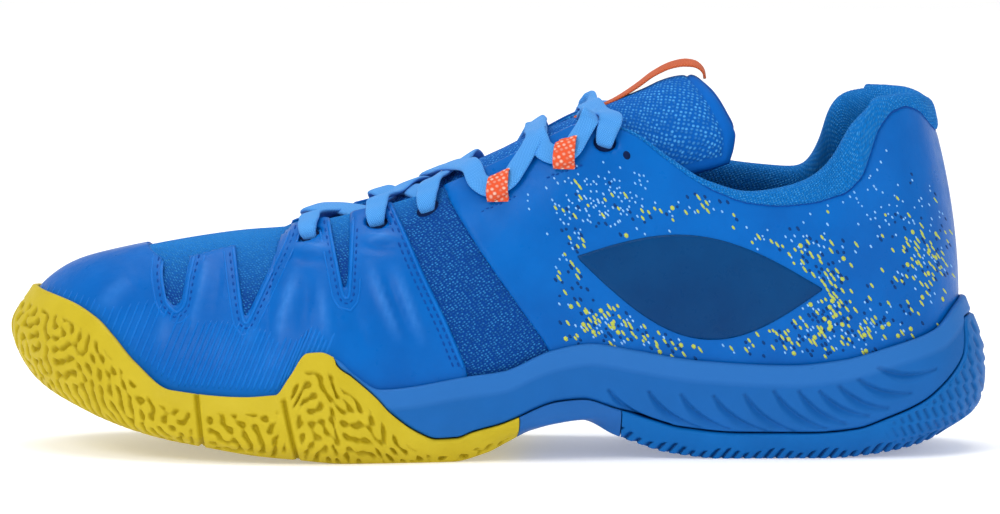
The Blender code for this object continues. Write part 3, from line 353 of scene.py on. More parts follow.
def slab(outer, inner, closed=False):
    """Points and faces of a solid between two grids of the same size."""
    count, rows = outer.shape[:2]
    block = count * rows
    faces = []
    for k in range(count if closed else count - 1):
        a, b = k * rows, ((k + 1) % count) * rows
        for r in range(rows - 1):
            faces.append((a + r, b + r, b + r + 1, a + r + 1))
            faces.append((block + a + r, block + a + r + 1, block + b + r + 1, block + b + r))
        for r in (0, rows - 1):
            faces.append((a + r, b + r, block + b + r, block + a + r))
    if not closed:
        for k in (0, count - 1):
            for r in range(rows - 1):
                a = k * rows + r
                faces.append((a, a + 1, block + a + 1, block + a))
    return np.vstack([outer.reshape(-1, 3), inner.reshape(-1, 3)]), faces


def join(parts):
    """Several (points, faces) sets as one."""
    verts, faces, start = [], [], 0
    for points, sides in parts:
        verts.append(points)
        faces += [tuple(i + start for i in side) for side in sides]
        start += len(points)
    return np.vstack(verts), faces


def polygon_distance(points, outline):
    """Signed distance of points to a closed outline: positive inside it."""
    corners = np.array(outline, float)
    best = np.full(len(points), 1e9)
    inside = np.zeros(len(points), bool)
    for a, b in zip(corners, np.roll(corners, -1, 0)):
        edge = b - a
        t = np.clip(((points - a) @ edge) / (edge @ edge), 0, 1)
        best = np.minimum(best, np.linalg.norm(points - a - t[:, None] * edge, axis=1))
        rising = (a[1] > points[:, 1]) != (b[1] > points[:, 1])
        cross = (b[0] - a[0]) * (points[:, 1] - a[1]) / (b[1] - a[1] + 1e-12) + a[0]
        inside ^= rising & (points[:, 0] < cross)
    return np.where(inside, best, -best)


def path_distance(points, path):
    """Distance of points to an open path, and the share of its length where they are nearest."""
    path = np.array(path, float)
    lengths = np.linalg.norm(np.diff(path, axis=0), axis=1)
    starts = run_along(path)
    best, where = np.full(len(points), 1e9), np.zeros(len(points))
    for k in range(len(path) - 1):
        edge = path[k + 1] - path[k]
        t = np.clip(((points - path[k]) @ edge) / (edge @ edge), 0, 1)
        gap = np.linalg.norm(points - path[k] - t[:, None] * edge, axis=1)
        nearer = gap < best
        best = np.where(nearer, gap, best)
        where = np.where(nearer, (starts[k] + t * lengths[k]) / starts[-1], where)
    return best, where


def curve(points, count):
    """Evenly spaced points along a smooth curve through the given ones."""
    points = np.array(points, float)
    knots = run_along(points)
    fine = np.linspace(0, knots[-1], count * 4)
    return resample(np.stack([smooth_through(knots, line)(fine) for line in points.T], 1), count)


def resample(path, count):
    """Evenly spaced points along a path."""
    run = run_along(path)
    want = np.linspace(0, run[-1], count)
    return np.stack([np.interp(want, run, line) for line in np.transpose(path)], 1)


def smooth_through(xs, ys):
    """A cubic function through points, with slopes taken from their neighbours."""
    slope = np.gradient(ys, xs)

    def value(x):
        k = np.clip(np.searchsorted(xs, x) - 1, 0, len(xs) - 2)
        step = xs[k + 1] - xs[k]
        return hermite((x - xs[k]) / step, ys[k], ys[k + 1], step * slope[k],
                       step * slope[k + 1])
    return value


def grow(outline, distance):
    """An outline with every side moved out by a distance."""
    points = np.array(outline, float)
    turn = np.sum(points[:, 0] * np.roll(points[:, 1], -1)
                  - points[:, 1] * np.roll(points[:, 0], -1))
    along = unit(np.roll(points, -1, 0) - points)
    out = np.stack([along[:, 1], -along[:, 0]], 1) * (1 if turn > 0 else -1)
    before = np.roll(out, 1, 0)
    corner = (before + out) / np.maximum(1 + np.sum(before * out, 1), 0.5)[:, None]
    return points + corner * distance


def rounded(outline, per_corner=5, cut=0.25):
    """An outline with its corners softened."""
    corners = np.array(outline, float)
    found = []
    for k, corner in enumerate(corners):
        before, after = corners[k - 1], corners[(k + 1) % len(corners)]
        reach_a = min(cut * np.linalg.norm(before - corner), 4) * unit(before - corner)
        reach_b = min(cut * np.linalg.norm(after - corner), 4) * unit(after - corner)
        start, end = corner + reach_a, corner + reach_b
        for t in np.linspace(0, 1, per_corner):
            found.append((1 - t) ** 2 * start + 2 * t * (1 - t) * corner + t * t * end)
    return found


# ---------------------------------------------------------------- skins on the upper
def wrap_cells(first, last):
    """Triangles of the wrap between two ribs, as indices into the flattened grid."""
    found = []
    for k in range(first, last):
        a, b = (k % RING) * ROWS, ((k + 1) % RING) * ROWS
        for r in range(ROWS - 1):
            found += [(a + r, b + r, b + r + 1), (a + r, b + r + 1, a + r + 1)]
    return found


def clip(tris, field, values):
    """Keep what lies where the field is positive, cutting triangles along its zero line."""
    kept, used, points, cuts = [], {}, [], {}

    def corner(i):
        if i not in used:
            used[i] = len(points)
            points.append(values[i])
        return used[i]

    def crossing(i, j):
        key = (min(i, j), max(i, j))
        if key not in cuts:
            share = field[key[0]] / (field[key[0]] - field[key[1]])
            cuts[key] = len(points)
            points.append(values[key[0]] * (1 - share) + values[key[1]] * share)
        return cuts[key]

    for tri in tris:
        high = [field[i] > 0 for i in tri]
        count = sum(high)
        if count == 3:
            kept.append([corner(i) for i in tri])
        elif count:
            turn = high.index(True) if count == 1 else (high.index(False) + 1) % 3
            a, b, c = tri[turn], tri[(turn + 1) % 3], tri[(turn + 2) % 3]
            if count == 1:
                kept.append([corner(a), crossing(a, b), crossing(a, c)])
            else:
                kept.append([corner(a), corner(b), crossing(b, c)])
                kept.append([corner(a), crossing(b, c), crossing(c, a)])
    return kept, np.array(points)


def near_spine(spot):
    """Whether a point is on the line where both sides of the vamp meet."""
    line = [s[1] for s in SPINE], [s[2] for s in SPINE]
    return SPINE[0][1] - 0.1 < spot[0] < SPINE[-1][1] + 0.1 and spot[2] > 57 \
        and abs(spot[1] - np.interp(spot[0], *line)) < 0.35


def skin(name, ribs, field, base, top, look, relief=None, soft=0.5):
    """A thin solid laid on the wrap where the field is positive, with a softened edge."""
    values = np.hstack([FLAT, FLAT_N, field[:, None], ARC.reshape(-1, 1)])
    tris, kept = clip(wrap_cells(*ribs), field, values)
    spots, normals, depth = kept[:, :3], unit(kept[:, 3:6]), np.clip(kept[:, 6], 0, None)
    high = top - edge_drop(depth, soft)
    if relief is not None:
        high = high + relief(spots, depth)
    count = len(spots)
    edges = {pair: None for tri in tris for pair in zip(tri, tri[1:] + tri[:1])}
    faces = [tuple(t) for t in tris] + [tuple(i + count for i in t[::-1]) for t in tris]
    for a, b in edges:
        if (b, a) not in edges and not (near_spine(spots[a]) and near_spine(spots[b])):
            faces.append((b, a, a + count, b + count))
    uv = np.stack([spots[:, 0], kept[:, 7]], 1)
    verts = np.vstack([spots + normals * high[:, None], spots + normals * base])
    thing = add_object(name, verts, faces, [look], np.vstack([uv, uv]))
    # Raised relief is also stored as a share that lightens the film: painted highlight on folds.
    if relief is not None:
        fold_highlight_share = np.clip(relief(spots, depth), 0, 1.2) / 1.2
        tint(thing, verts, np.concatenate((fold_highlight_share, 0 * fold_highlight_share)), "painted_fold_highlight")
    return thing


# The film's outer face, for laying things on it.
FILM_TREE = BVHTree.FromPolygons([Vector(p) for p in FLAT + FLAT_N * FILM_OUT],
                                 wrap_cells(0, RING))


def off_film(spot):
    """Whether a place is in the vamp's mesh opening."""
    return spot[2] > 52 and polygon_distance(spot[None, :2], VAMP_MESH)[0] > -1.2


def lay(flat, side):
    """Side-view points put on the film: places and outward directions, or None beside it."""
    found = []
    for x, z in flat:
        spot, normal, *_ = FILM_TREE.ray_cast(Vector((x, 200 * side, z)), Vector((0, -side, 0)))
        if spot is None:
            found.append(None)
            continue
        spot, normal = np.array(spot), np.array(normal)
        facing = normal[1] * side
        beside = abs(facing) < 0.04 or spot[1] * side < -14 or off_film(spot)
        found.append(None if beside else (spot, -normal if facing < 0 else normal))
    return found


def bead(placed, width, height, sink=0.15, taper=0.3, sides=8):
    """A low rounded bead along placed points, with closed, narrowed ends."""
    spots = np.array([p[0] for p in placed])
    normals = np.array([p[1] for p in placed])
    tangents = unit(np.gradient(spots, axis=0))
    across = unit(np.cross(tangents, normals))
    rings = []
    turns = np.linspace(0, 2 * math.pi, sides, endpoint=False)
    for k, (spot, normal, wide) in enumerate(zip(spots, normals, across)):
        size = taper if k in (0, len(spots) - 1) else 1.0
        tall = np.where(np.sin(turns) > 0, height, sink) * np.sin(turns) * size
        rings.append(spot + wide * (np.cos(turns) * width / 2 * size)[:, None]
                     + normal * tall[:, None])
    return loft(rings)


def pieces_of(placed):
    """Unbroken stretches of placed points."""
    run, runs = [], []
    for item in placed + [None]:
        if item is None:
            if len(run) > 1:
                runs.append(run)
            run = []
        else:
            run.append(item)
    return runs


def beads(path, side, width, height, step=0.9):
    """A continuous bead along a side-view path."""
    fine = resample(path, max(int(run_along(path)[-1] / step), 3))
    return [bead(run, width, height, 0.3) for run in pieces_of(lay(fine, side))
            if len(run) > 2]


def stitches(path, side, pitch=2.3, length=1.5, width=0.55, height=0.22):
    """A row of short stitches along a side-view path."""
    found = []
    count = int(run_along(path)[-1] / pitch)
    fine = resample(path, count * 8 + 1)
    reach = max(int(round(8 * length / pitch)), 2)
    for k in range(count):
        placed = lay(fine[k * 8:k * 8 + reach + 1], side)
        if all(p is not None for p in placed):
            found.append(bead(placed, width, height, 0.1, 0.5, 6))
    return found


# ---------------------------------------------------------------- materials
def shader(name, rough, **sockets):
    """A new Principled material; uniform values go straight on its sockets."""
    made = bpy.data.materials.new(name)
    made.use_nodes = True
    base = made.node_tree.nodes["Principled BSDF"]
    base.inputs["Roughness"].default_value = rough
    for key, value in sockets.items():
        base.inputs[key.replace("_", " ")].default_value = value
    return made, made.node_tree, base


def add_node(tree, kind, settings=None, **inputs):
    made = tree.nodes.new(kind)
    for key, value in (settings or {}).items():
        setattr(made, key, value)
    for key, value in inputs.items():
        socket = made.inputs[int(key[1:])] if key[0] == "i" and key[1:].isdigit() \
            else made.inputs[key.replace("_", " ")]
        if isinstance(value, bpy.types.NodeSocket):
            tree.links.new(value, socket)
        else:
            socket.default_value = value
    return made


def coordinates(tree, source="Object"):
    return add_node(tree, "ShaderNodeTexCoord").outputs[source]


def millimetres(tree):
    """Texture coordinates in the object's millimetres."""
    return add_node(tree, "ShaderNodeMapping", Vector=coordinates(tree),
                    Scale=(1 / MM, 1 / MM, 1 / MM)).outputs[0]


def combined(tree, how, first, second):
    return add_node(tree, "ShaderNodeMath", {"operation": how}, i0=first, i1=second).outputs[0]


def noise(tree, coords, scale, detail=3.0, rough=0.55):
    return add_node(tree, "ShaderNodeTexNoise", Vector=coords, Scale=scale, Detail=detail,
                    Roughness=rough).outputs["Fac"]


def remap(tree, value, low, high, to_low, to_high):
    return add_node(tree, "ShaderNodeMapRange", Value=value, From_Min=low, From_Max=high,
                    To_Min=to_low, To_Max=to_high).outputs[0]


def mixed(tree, share, first, second):
    made = tree.nodes.new("ShaderNodeMix")
    made.data_type = "RGBA"
    for socket, value in ((made.inputs[0], share), (made.inputs[6], first),
                          (made.inputs[7], second)):
        if isinstance(value, bpy.types.NodeSocket):
            tree.links.new(value, socket)
        else:
            socket.default_value = (*value, 1) if not np.isscalar(value) else value
    return made.outputs[2]


def colour(tree, base, share, first, second):
    """Base colour between two colours; either may be what the material has so far."""
    tree.links.new(mixed(tree, share, first, second), base.inputs["Base Color"])


def overlaid(made, attribute, over, patchy=False):
    """Another colour laid over a material where a stored attribute says."""
    tree = made.node_tree
    base = tree.nodes["Principled BSDF"]
    share = add_node(tree, "ShaderNodeAttribute",
                     {"attribute_name": attribute}).outputs["Fac"]
    if patchy:
        share = combined(tree, "MULTIPLY", share, remap(
            tree, noise(tree, millimetres(tree), 0.3, 3), 0.3, 0.7, 0.5, 1.0))
    colour(tree, base, share, base.inputs["Base Color"].links[0].from_socket, over)
    return made


def bump(tree, base, height, strength, distance):
    """Bump in metres of depth, on top of what the material has."""
    made = add_node(tree, "ShaderNodeBump", Height=height, Strength=strength,
                    Distance=distance)
    tree.links.new(made.outputs[0], base.inputs["Normal"])


def film_look(name, light, dark, rough):
    """Thin satin film: soft mottling, fine grain and faint scuffs."""
    made, tree, base = shader(name, rough, Specular_IOR_Level=0.1)
    coords = millimetres(tree)
    broad = noise(tree, coords, 0.045, 4)
    colour(tree, base, remap(tree, broad, 0.35, 0.65, 0, 1), dark, light)
    tree.links.new(remap(tree, noise(tree, coords, 0.22, 5, 0.7), 0.3, 0.7,
                         rough - 0.07, rough + 0.1), base.inputs["Roughness"])
    fine = remap(tree, noise(tree, coords, 1.6, 4, 0.7), 0, 1, 0, 0.2)
    bump(tree, base, combined(tree, "ADD", fine, noise(tree, coords, 0.13, 2)), 0.4, 0.0008)
    return made


def knit_look(name, ground, dot, pitch, spread, rib=0.0, crown=None):
    """Knit cloth: rows of bright loops on a darker ground, raised a little."""
    made, tree, base = shader(name, 0.85, Specular_IOR_Level=0.12)
    thread = coordinates(tree, "UV")
    coords = add_node(tree, "ShaderNodeMapping", Vector=thread, Rotation=(0, 0, 0.52),
                      Scale=(1 / pitch, 1.25 / pitch, 1)).outputs[0]
    cells = add_node(tree, "ShaderNodeTexVoronoi", {"voronoi_dimensions": "2D"},
                     Vector=coords, Scale=1.0, Randomness=spread)
    loop = remap(tree, cells.outputs["Distance"], 0.16, 0.42, 1, 0)
    chance = add_node(tree, "ShaderNodeSeparateColor", Color=cells.outputs["Color"]).outputs[0]
    shown = combined(tree, "MULTIPLY", loop, remap(tree, chance, 0.1, 0.9, 0.25, 1.0))
    broad = remap(tree, noise(tree, thread, 0.09, 3), 0.35, 0.65, 0.75, 1.1)
    shown = combined(tree, "MULTIPLY", shown, broad)
    # With a crown colour, the ground turns lighter on faces turned up: painted top light.
    if crown:
        facing = add_node(tree, "ShaderNodeSeparateXYZ", Vector=add_node(
            tree, "ShaderNodeNewGeometry").outputs["Normal"]).outputs[2]
        ground = mixed(tree, remap(tree, facing, 0.68, 0.96, 0, 1), ground, crown)
    colour(tree, base, shown, ground, dot)
    if rib:
        wave = add_node(tree, "ShaderNodeTexWave", {"bands_direction": "X"}, Vector=thread,
                        Scale=rib, Distortion=0.6, Detail=1.0).outputs["Fac"]
        loop = combined(tree, "ADD", loop, wave)
    bump(tree, base, loop, 0.8, 0.00035)
    return made


def weave_look(name, light, dark, pitch, rough=0.75):
    """Flat woven tape: slanted threads crossing, seen in colour and height."""
    made, tree, base = shader(name, rough, Sheen_Weight=0.1, Sheen_Roughness=0.4,
                              Specular_IOR_Level=0.2)
    thread = coordinates(tree, "UV")
    waves = []
    for turn in (0.75, -0.75):
        coords = add_node(tree, "ShaderNodeMapping", Vector=thread,
                          Rotation=(0, 0, turn)).outputs[0]
        waves.append(add_node(tree, "ShaderNodeTexWave", Vector=coords, Scale=0.32 / pitch,
                              Distortion=0.8, Detail=1.0).outputs["Fac"])
    both = combined(tree, "MULTIPLY", *waves)
    colour(tree, base, remap(tree, both, 0.05, 0.6, 0, 1), dark, light)
    bump(tree, base, both, 0.7, 0.0003)
    return made


def foam_look(name, light, dark, rough, grain=1.1, depth=0.00015):
    """Moulded foam or rubber: even colour with faint clouding, fine pitted skin."""
    made, tree, base = shader(name, rough, Specular_IOR_Level=0.14)
    coords = millimetres(tree)
    broad = noise(tree, coords, 0.06, 5, 0.6)
    colour(tree, base, remap(tree, broad, 0.3, 0.7, 0, 1), dark, light)
    tree.links.new(remap(tree, noise(tree, coords, 0.5, 4), 0.3, 0.7, rough - 0.06,
                         rough + 0.08), base.inputs["Roughness"])
    bump(tree, base, noise(tree, coords, grain, 5, 0.7), 0.4, depth)
    return made


def paint_all():
    """Every material by its short name, from the light and dark colour of each."""
    film, soft = ((0.0, 0.122, 0.47), (0.0, 0.098, 0.4)), (0.006, 0.115, 0.4)
    made = {word: look(name, *rest) for word, look, name, *rest in (
        ("film", film_look, "film_blue", *film, 0.32),
        ("creased", film_look, "film_creased", *film, 0.32),
        # Raised ribs and borders are film a little lighter than the rest: painted highlight.
        ("rib", film_look, "film_rib", (0.004, 0.15, 0.54), (0.0, 0.12, 0.47), 0.32),
        ("navy", film_look, "film_navy", (0.0, 0.048, 0.17), (0.0, 0.036, 0.138), 0.3),
        # The knit's last colour is its crown: painted top light on faces turned up.
        ("knit", knit_look, "knit_mesh", (0.0, 0.045, 0.25), (0.03, 0.24, 0.6), 1.05, 0.5,
         0.0, (0.008, 0.175, 0.55)),
        ("collar", knit_look, "knit_collar", (0.0, 0.145, 0.5), (0.05, 0.31, 0.72), 1.0, 0.25,
         0.28),
        ("tongue", knit_look, "tongue_mesh", (0.0, 0.095, 0.42), (0.07, 0.36, 0.78), 1.35,
         0.35),
        ("rim", film_look, "tongue_rim", (0.0, 0.11, 0.46), (0.0, 0.09, 0.4), 0.7),
        ("midsole", foam_look, "midsole_foam", soft, [c * 0.9 for c in soft], 0.5),
        ("yellow", foam_look, "yellow_rubber", (0.54, 0.42, 0.02), (0.48, 0.365, 0.012), 0.5,
         0.9),
        ("heel", foam_look, "heel_rubber", (0.0, 0.125, 0.42), (0.0, 0.108, 0.375), 0.5, 0.9),
        ("shank", foam_look, "shank_plastic", (0.014, 0.115, 0.385), (0.01, 0.1, 0.34), 0.35),
        ("lace", weave_look, "lace_textile", (0.115, 0.4, 0.87), (0.045, 0.275, 0.72), 0.5),
        ("tip", foam_look, "lace_tip", (0.1, 0.33, 0.8), (0.08, 0.3, 0.75), 0.25),
        ("orange", knit_look, "orange_webbing", (0.72, 0.09, 0.03), (0.9, 0.62, 0.5), 1.7, 0.3),
        ("strap", weave_look, "strap_webbing", (0.66, 0.17, 0.06), (0.46, 0.07, 0.02), 0.7),
        ("thread", foam_look, "stitch_thread", (0.0, 0.07, 0.34), (0.0, 0.05, 0.28), 0.7),
        ("ink_yellow", foam_look, "ink_yellow", (0.5, 0.54, 0.08), (0.38, 0.48, 0.09), 0.5),
        ("ink_pale", foam_look, "ink_pale", (0.3, 0.55, 0.85), (0.16, 0.42, 0.8), 0.5),
        ("ink_dark", foam_look, "ink_dark", (0.0, 0.045, 0.2), (0.0, 0.035, 0.16), 0.6),
        ("insole", knit_look, "insole_cloth", (0.01, 0.06, 0.28), (0.03, 0.14, 0.45), 0.9, 0.2),
        ("board", foam_look, "board_felt", (0.6, 0.58, 0.52), (0.5, 0.48, 0.43), 0.9, 3,
         0.0003),
        ("plastic", foam_look, "counter_plastic", (0.7, 0.69, 0.65), (0.6, 0.6, 0.56), 0.4),
        # Dark discs in the eyelets and spare hole: painted shade inside holes.
        ("hole", foam_look, "eyelet_dark", (0.0, 0.012, 0.07), (0.0, 0.008, 0.05), 0.8))}
    # Painted highlight on film folds, foam paler on its smooth upper band, painted shade in
    # grooves.
    overlaid(made["creased"], "painted_fold_highlight", (0.045, 0.215, 0.62), patchy=True)
    overlaid(made["midsole"], "pale", (0.022, 0.15, 0.46))
    # The yellow rubber's darker olive in maze grooves, slits and tread is painted shade.
    overlaid(made["yellow"], "groove", (0.36, 0.265, 0.0))
    # The heel rubber's darker blue in its notches, dashes and tread is painted shade.
    overlaid(made["heel"], "groove", (0.0, 0.045, 0.2))
    return made


PAINT = paint_all()


# ---------------------------------------------------------------- sole
LIP_ROOM = 4.3            # how far the sole's lip stands off the upper's inner face
YELLOW_REAR = -6.0        # where the yellow outsole ends under the arch
HEEL_FRONT = -38          # where the heel outsole starts
MAZE_DEEP, SLIT_DEEP, FLUTE_DEEP, LUG_DEEP = 1.15, 1.5, 1.9, 1.1
LIP_BAND = 5.6            # smooth band under the lip, without maze or flutes
# Crescent flutes of the heel's foam and slits of the yellow wall, as side-view end points.
FLUTES = [((-34.5, 21.5), (-53, 10.7)), ((-46.7, 21), (-62, 9.7)), ((-56.6, 20), (-71, 9.2)),
          ((-66.5, 19.6), (-82, 8.8)), ((-76, 20), (-91, 8.6)), ((-85, 21), (-101, 9.4)),
          ((-92.6, 21), (-107, 11)), ((-99, 21), (-114, 13.3)), ((-105, 22.5), (-120, 15.5)),
          ((-111, 24.5), (-127, 20)), ((-117, 28), (-135, 27))]
SLITS = [((91.6, 20.5), (89.8, 4)), ((64.9, 19.5), (60.8, 1))]
# Side-view line between the foam above and the rubber and shank below, heel to toe.
ZONE_REAR = [(-160, 46), (-148, 41.4), (-146, 35), (-143.5, 29), (-138, 22.4), (-131, 17),
             (-120, 12.3), (-110, 9.0), (-95, 7.8), (-75, 7.8), (-57, 9.4), (-47, 12.3),
             (-37, 15.8), (-26.5, 19), (-19, 18.4), (-1, 11.4), (7, 9.2)]
ZONE_LINE = {
    LATERAL: smooth(ZONE_REAR + [(12, 7.3), (18, 7.1), (23, 9.2), (32, 15.7), (37, 21), (44, 27),
                                 (49, 31), (52, 60), (160, 60)]),
    MEDIAL: smooth(ZONE_REAR + [(14, 7.1), (26, 11), (36, 17), (43, 24), (47, 60), (160, 60)])}
ZONE_GAP = 0.15           # half the gap between two sole pieces at that line


def wall_section(side, share):
    """Points up the sole's outer wall, from its bottom edge to the lip beside the upper."""
    spot, out = plan(side, share)
    edge = edge_share(side, share)
    t = np.array([edge - 0.004, edge, edge + 0.004])
    lip = rib(side, share, t)
    up = unit(lip[2] - lip[0])
    level = unit(np.array([*out, 0.0]))
    away = unit(level - up * (level @ up))
    knots = [np.array([*(spot + out * WALL[0](share)), 0.0])]
    knots[0][2] = UNDERSIDE_Z(knots[0][0])
    for c in (1, 2):
        height = min(LEVELS[c - 1](share), lip[1, 2] - (7, 3)[c - 1])
        knots.append(np.array([*(spot + out * WALL[c](share)), height]))
    knots.append(lip[1] + away * LIP_ROOM)
    return curve(knots, 60)


def wall_stations(lateral, end, medial, count):
    """(side, share) pairs from the outer side, round the toe (1) or heel (0), to the inner."""
    return ([(LATERAL, s) for s in np.linspace(lateral, end, count)]
            + [(MEDIAL, s) for s in np.linspace(end, medial, count)[1:]])


def zone_top(side, x):
    return ZONE_LINE[side](x) - ZONE_GAP


def zone_foot(side, x):
    return ZONE_LINE[side](x) + ZONE_GAP


def under_all(side, x):
    return BELOW_SOLE


def over_all(side, x):
    return NO_LIMIT


def wall_grid(stations, low, high, rows):
    """Wall points between two side-view height lines, with their outward directions."""
    grid = []
    for side, share in stations:
        section = wall_section(side, share)
        heights, xs = section[:, 2], section[:, 0]
        ends = []
        for line in (low, high):
            z = heights[0]
            for _ in range(4):
                z = float(np.clip(line(side, float(np.interp(z, heights, xs))),
                                  heights[0], heights[-1]))
            ends.append(z)
        want = np.linspace(ends[0], max(ends[1], ends[0] + 0.2), rows)
        grid.append(np.stack([np.interp(want, heights, section[:, c]) for c in range(3)], 1))
    grid = np.array(grid)
    ahead, up = np.gradient(grid, axis=0), np.gradient(grid, axis=1)
    normals = unit(np.cross(ahead, up))
    middle = grid.mean(axis=(0, 1)) * [1, 0, 1]
    facing = np.sum(normals * (grid - middle), axis=-1)
    return grid, normals if np.median(facing) > 0 else -normals


def edge_drop(distance, radius):
    """How far a rounded edge falls at a distance from it."""
    near = np.clip(distance / radius, 0, 1)
    return radius * (1 - np.sqrt(np.clip(1 - (1 - near) ** 2, 0, 1)))


def maze_tile(size=480, tile=96.0, wave=3.7, lean=0.45, spread=0.5):
    """A seamless maze of winding ridges: noise kept to one wavelength, sharpened in rounds."""
    steps = np.fft.fftfreq(size, tile / size)
    along, down = np.meshgrid(steps, steps, indexing="ij")
    turn = np.arctan2(down, along) - lean
    turn = np.abs((turn + math.pi / 2) % math.pi - math.pi / 2)
    band = np.exp(-((np.hypot(along, down) * wave - 1) / 0.34) ** 2)
    keep = band * (0.9 + 0.1 * np.exp(-(turn / spread) ** 2))
    field = RANDOM.normal(size=(size, size))
    for _ in range(5):
        field = np.tanh(1.6 * field / field.std())
        field = np.real(np.fft.ifft2(np.fft.fft2(field) * keep))
    return field / field.std(), size / tile


MAZE, MAZE_SCALE = maze_tile()


def labyrinth(u, v):
    """Groove depth (0 to 1) of the maze at distances along and down the wall, in mm."""
    a, b = u * MAZE_SCALE, v * MAZE_SCALE
    i, j = np.floor(a).astype(int), np.floor(b).astype(int)
    p, q = a - i, b - j
    size = len(MAZE)
    value = sum(MAZE[(i + m) % size, (j + n) % size] * abs(1 - m - p) * abs(1 - n - q)
                for m in (0, 1) for n in (0, 1))
    return np.clip((-value - 0.3) / 0.8, 0, 1)


def tint(thing, verts, depth, name="groove"):
    """Store a share for each point as an attribute, matched by place after welding."""
    tree = {}
    for spot, value in zip(np.round(to_world(verts) / 2e-5).astype(int), depth):
        tree[tuple(spot)] = value
    layer = thing.data.attributes.new(name, "FLOAT", "POINT")
    found = [tree.get(tuple(np.round(np.array(v.co) / 2e-5).astype(int)), 0.0)
             for v in thing.data.vertices]
    layer.data.foreach_set("value", np.array(found, np.float32))


def underside(stations, rows, relief, thick=2.0):
    """Slab of tread between the two bottom edges, with relief cut up into it."""
    grid = []
    for share in stations:
        left, right = wall_section(LATERAL, share)[0], wall_section(MEDIAL, share)[0]
        q = np.linspace(0.012, 0.988, rows)[:, None]
        line = left * (1 - q) + right * q
        line[:, 2] = UNDERSIDE_Z(line[:, 0])
        grid.append(line)
    grid = np.array(grid)
    depth = relief(grid[..., 0], grid[..., 1])
    outer = grid + np.stack([0 * depth, 0 * depth, depth], -1)
    return slab(outer, grid + np.array([0, 0, thick])), with_inner(depth)


def herringbone(x, y):
    """Zigzag tread grooves, 5.2 mm apart and 1.1 mm deep."""
    zig = np.abs((y / 14) % 2 - 1) * 8
    return 1.1 * np.clip(1.3 - np.abs((x + zig) % 5.2 - 2.6) / 0.9, 0, 1)


def share_of_x(side, x):
    """Share of the outline at which its bottom edge passes x."""
    shares = np.linspace(0, 1, 400)
    xs = [plan(side, s)[0][0] + plan(side, s)[1][0] * WALL[0](s) for s in shares]
    return float(np.interp(x, xs, shares))


def with_inner(outer):
    """Values for a slab's points: the outer face's own, nothing on its inner face."""
    return np.concatenate((np.ravel(outer), 0 * np.ravel(outer)))


def make_forefoot():
    """Forefoot outsole: yellow wall with its maze and slits, and the tread under it."""
    rear = share_of_x(LATERAL, YELLOW_REAR)
    grid, normals = wall_grid(wall_stations(rear, 1.0, rear, 470), under_all, zone_top, 78)
    along, up = grid_runs(grid, 0), grid_runs(grid, 1)
    height = up[:, -1:]
    band = np.clip(height - up - LIP_BAND, 0, 1) * np.clip((up - 0.2) / 0.8, 0, 1)
    groove = labyrinth(np.broadcast_to(along[:, :1], up.shape), height - up) * band
    side_view = grid[..., [0, 2]].reshape(-1, 2)
    slit = np.zeros(up.size)
    for path in SLITS:
        gap = path_distance(side_view, path)[0]
        slit = np.maximum(slit, np.clip(1.3 - gap / 0.75, 0, 1))
        groove *= np.clip((gap.reshape(up.shape) - 2.2) / 0.8, 0, 1)
    slit = slit.reshape(up.shape)
    groove *= np.clip((grid[..., 0] - 1 - YELLOW_REAR) / 4, 0, 1)
    reach = np.minimum(height - up, up + 0.3)
    low = MAZE_DEEP * groove + SLIT_DEEP * slit + edge_drop(reach, 0.9)
    outer = grid + normals * (0.25 - low)[..., None]
    inner = grid - normals * np.where(reach < 0.8, 1.6, 2.4)[..., None]
    tread, tread_depth = underside(np.linspace(rear, 0.999, 210), 120, herringbone)
    verts, faces = join([slab(outer, inner), tread])
    thing = add_object("forefoot_outsole", verts, faces, ["yellow"])
    # Groove, slit and tread depth darken the rubber through its material: painted shade.
    tint(thing, verts, np.concatenate((with_inner(np.maximum(groove, slit)), tread_depth * 0.6)))
    place(thing, "shoe", "outsole_forefoot", "outsole_forefoot")


def flute_depth(points):
    """Depth of the crescent flutes: thin at the front end, wide and deep at the rear end."""
    deepest = np.zeros(len(points))
    for start, end in FLUTES:
        start, end = np.array(start), np.array(end)
        run = end - start
        bend = start + run * 0.5 + np.array([run[1], -run[0]]) * -0.16
        fine = np.linspace(0, 1, 12)[:, None]
        path = start * (1 - fine) ** 2 + 2 * bend * fine * (1 - fine) + end * fine ** 2
        gap, where = path_distance(points, path)
        above = points[:, 1] > np.interp(points[:, 0], path[::-1, 0], path[::-1, 1])
        reach = np.where(above, 0.5, 0.6 + 2.2 * np.sin(np.clip(where, 0.02, 0.98) * math.pi))
        strength = 0.35 + 0.65 * np.sin(np.clip(0.1 + where, 0, 0.95) * math.pi)
        deepest = np.maximum(deepest, np.clip(1 - gap / reach, 0, 1) * strength)
    return deepest


def make_midsole():
    """Midsole: foam wall with crescent flutes under a smooth paler band."""
    stations = wall_stations(share_of_x(LATERAL, 53), 0, share_of_x(MEDIAL, 47), 380)
    grid, normals = wall_grid(stations, zone_foot, over_all, 60)
    up = grid_runs(grid, 1)
    height = up[:, -1:]
    depth = flute_depth(grid[..., [0, 2]].reshape(-1, 2)).reshape(up.shape)
    band = np.clip((height - up - LIP_BAND) / 1.8, 0, 1)
    reach = np.minimum(height - up, up)
    low = FLUTE_DEEP * depth + 0.5 * band + edge_drop(reach, 1.3)
    outer = grid + normals * (0.1 - low)[..., None]
    inner = grid - normals * np.where(height - up < 1.2, 1.8, 4.5)[..., None]
    verts, faces = slab(outer, inner)
    thing = add_object("midsole_wall", verts, faces, ["midsole"])
    tint(thing, verts, with_inner(np.clip(0.75 * (1 - band) - 0.25 * depth, 0, 1)), "pale")
    place(thing, "shoe", "midsole", "midsole")


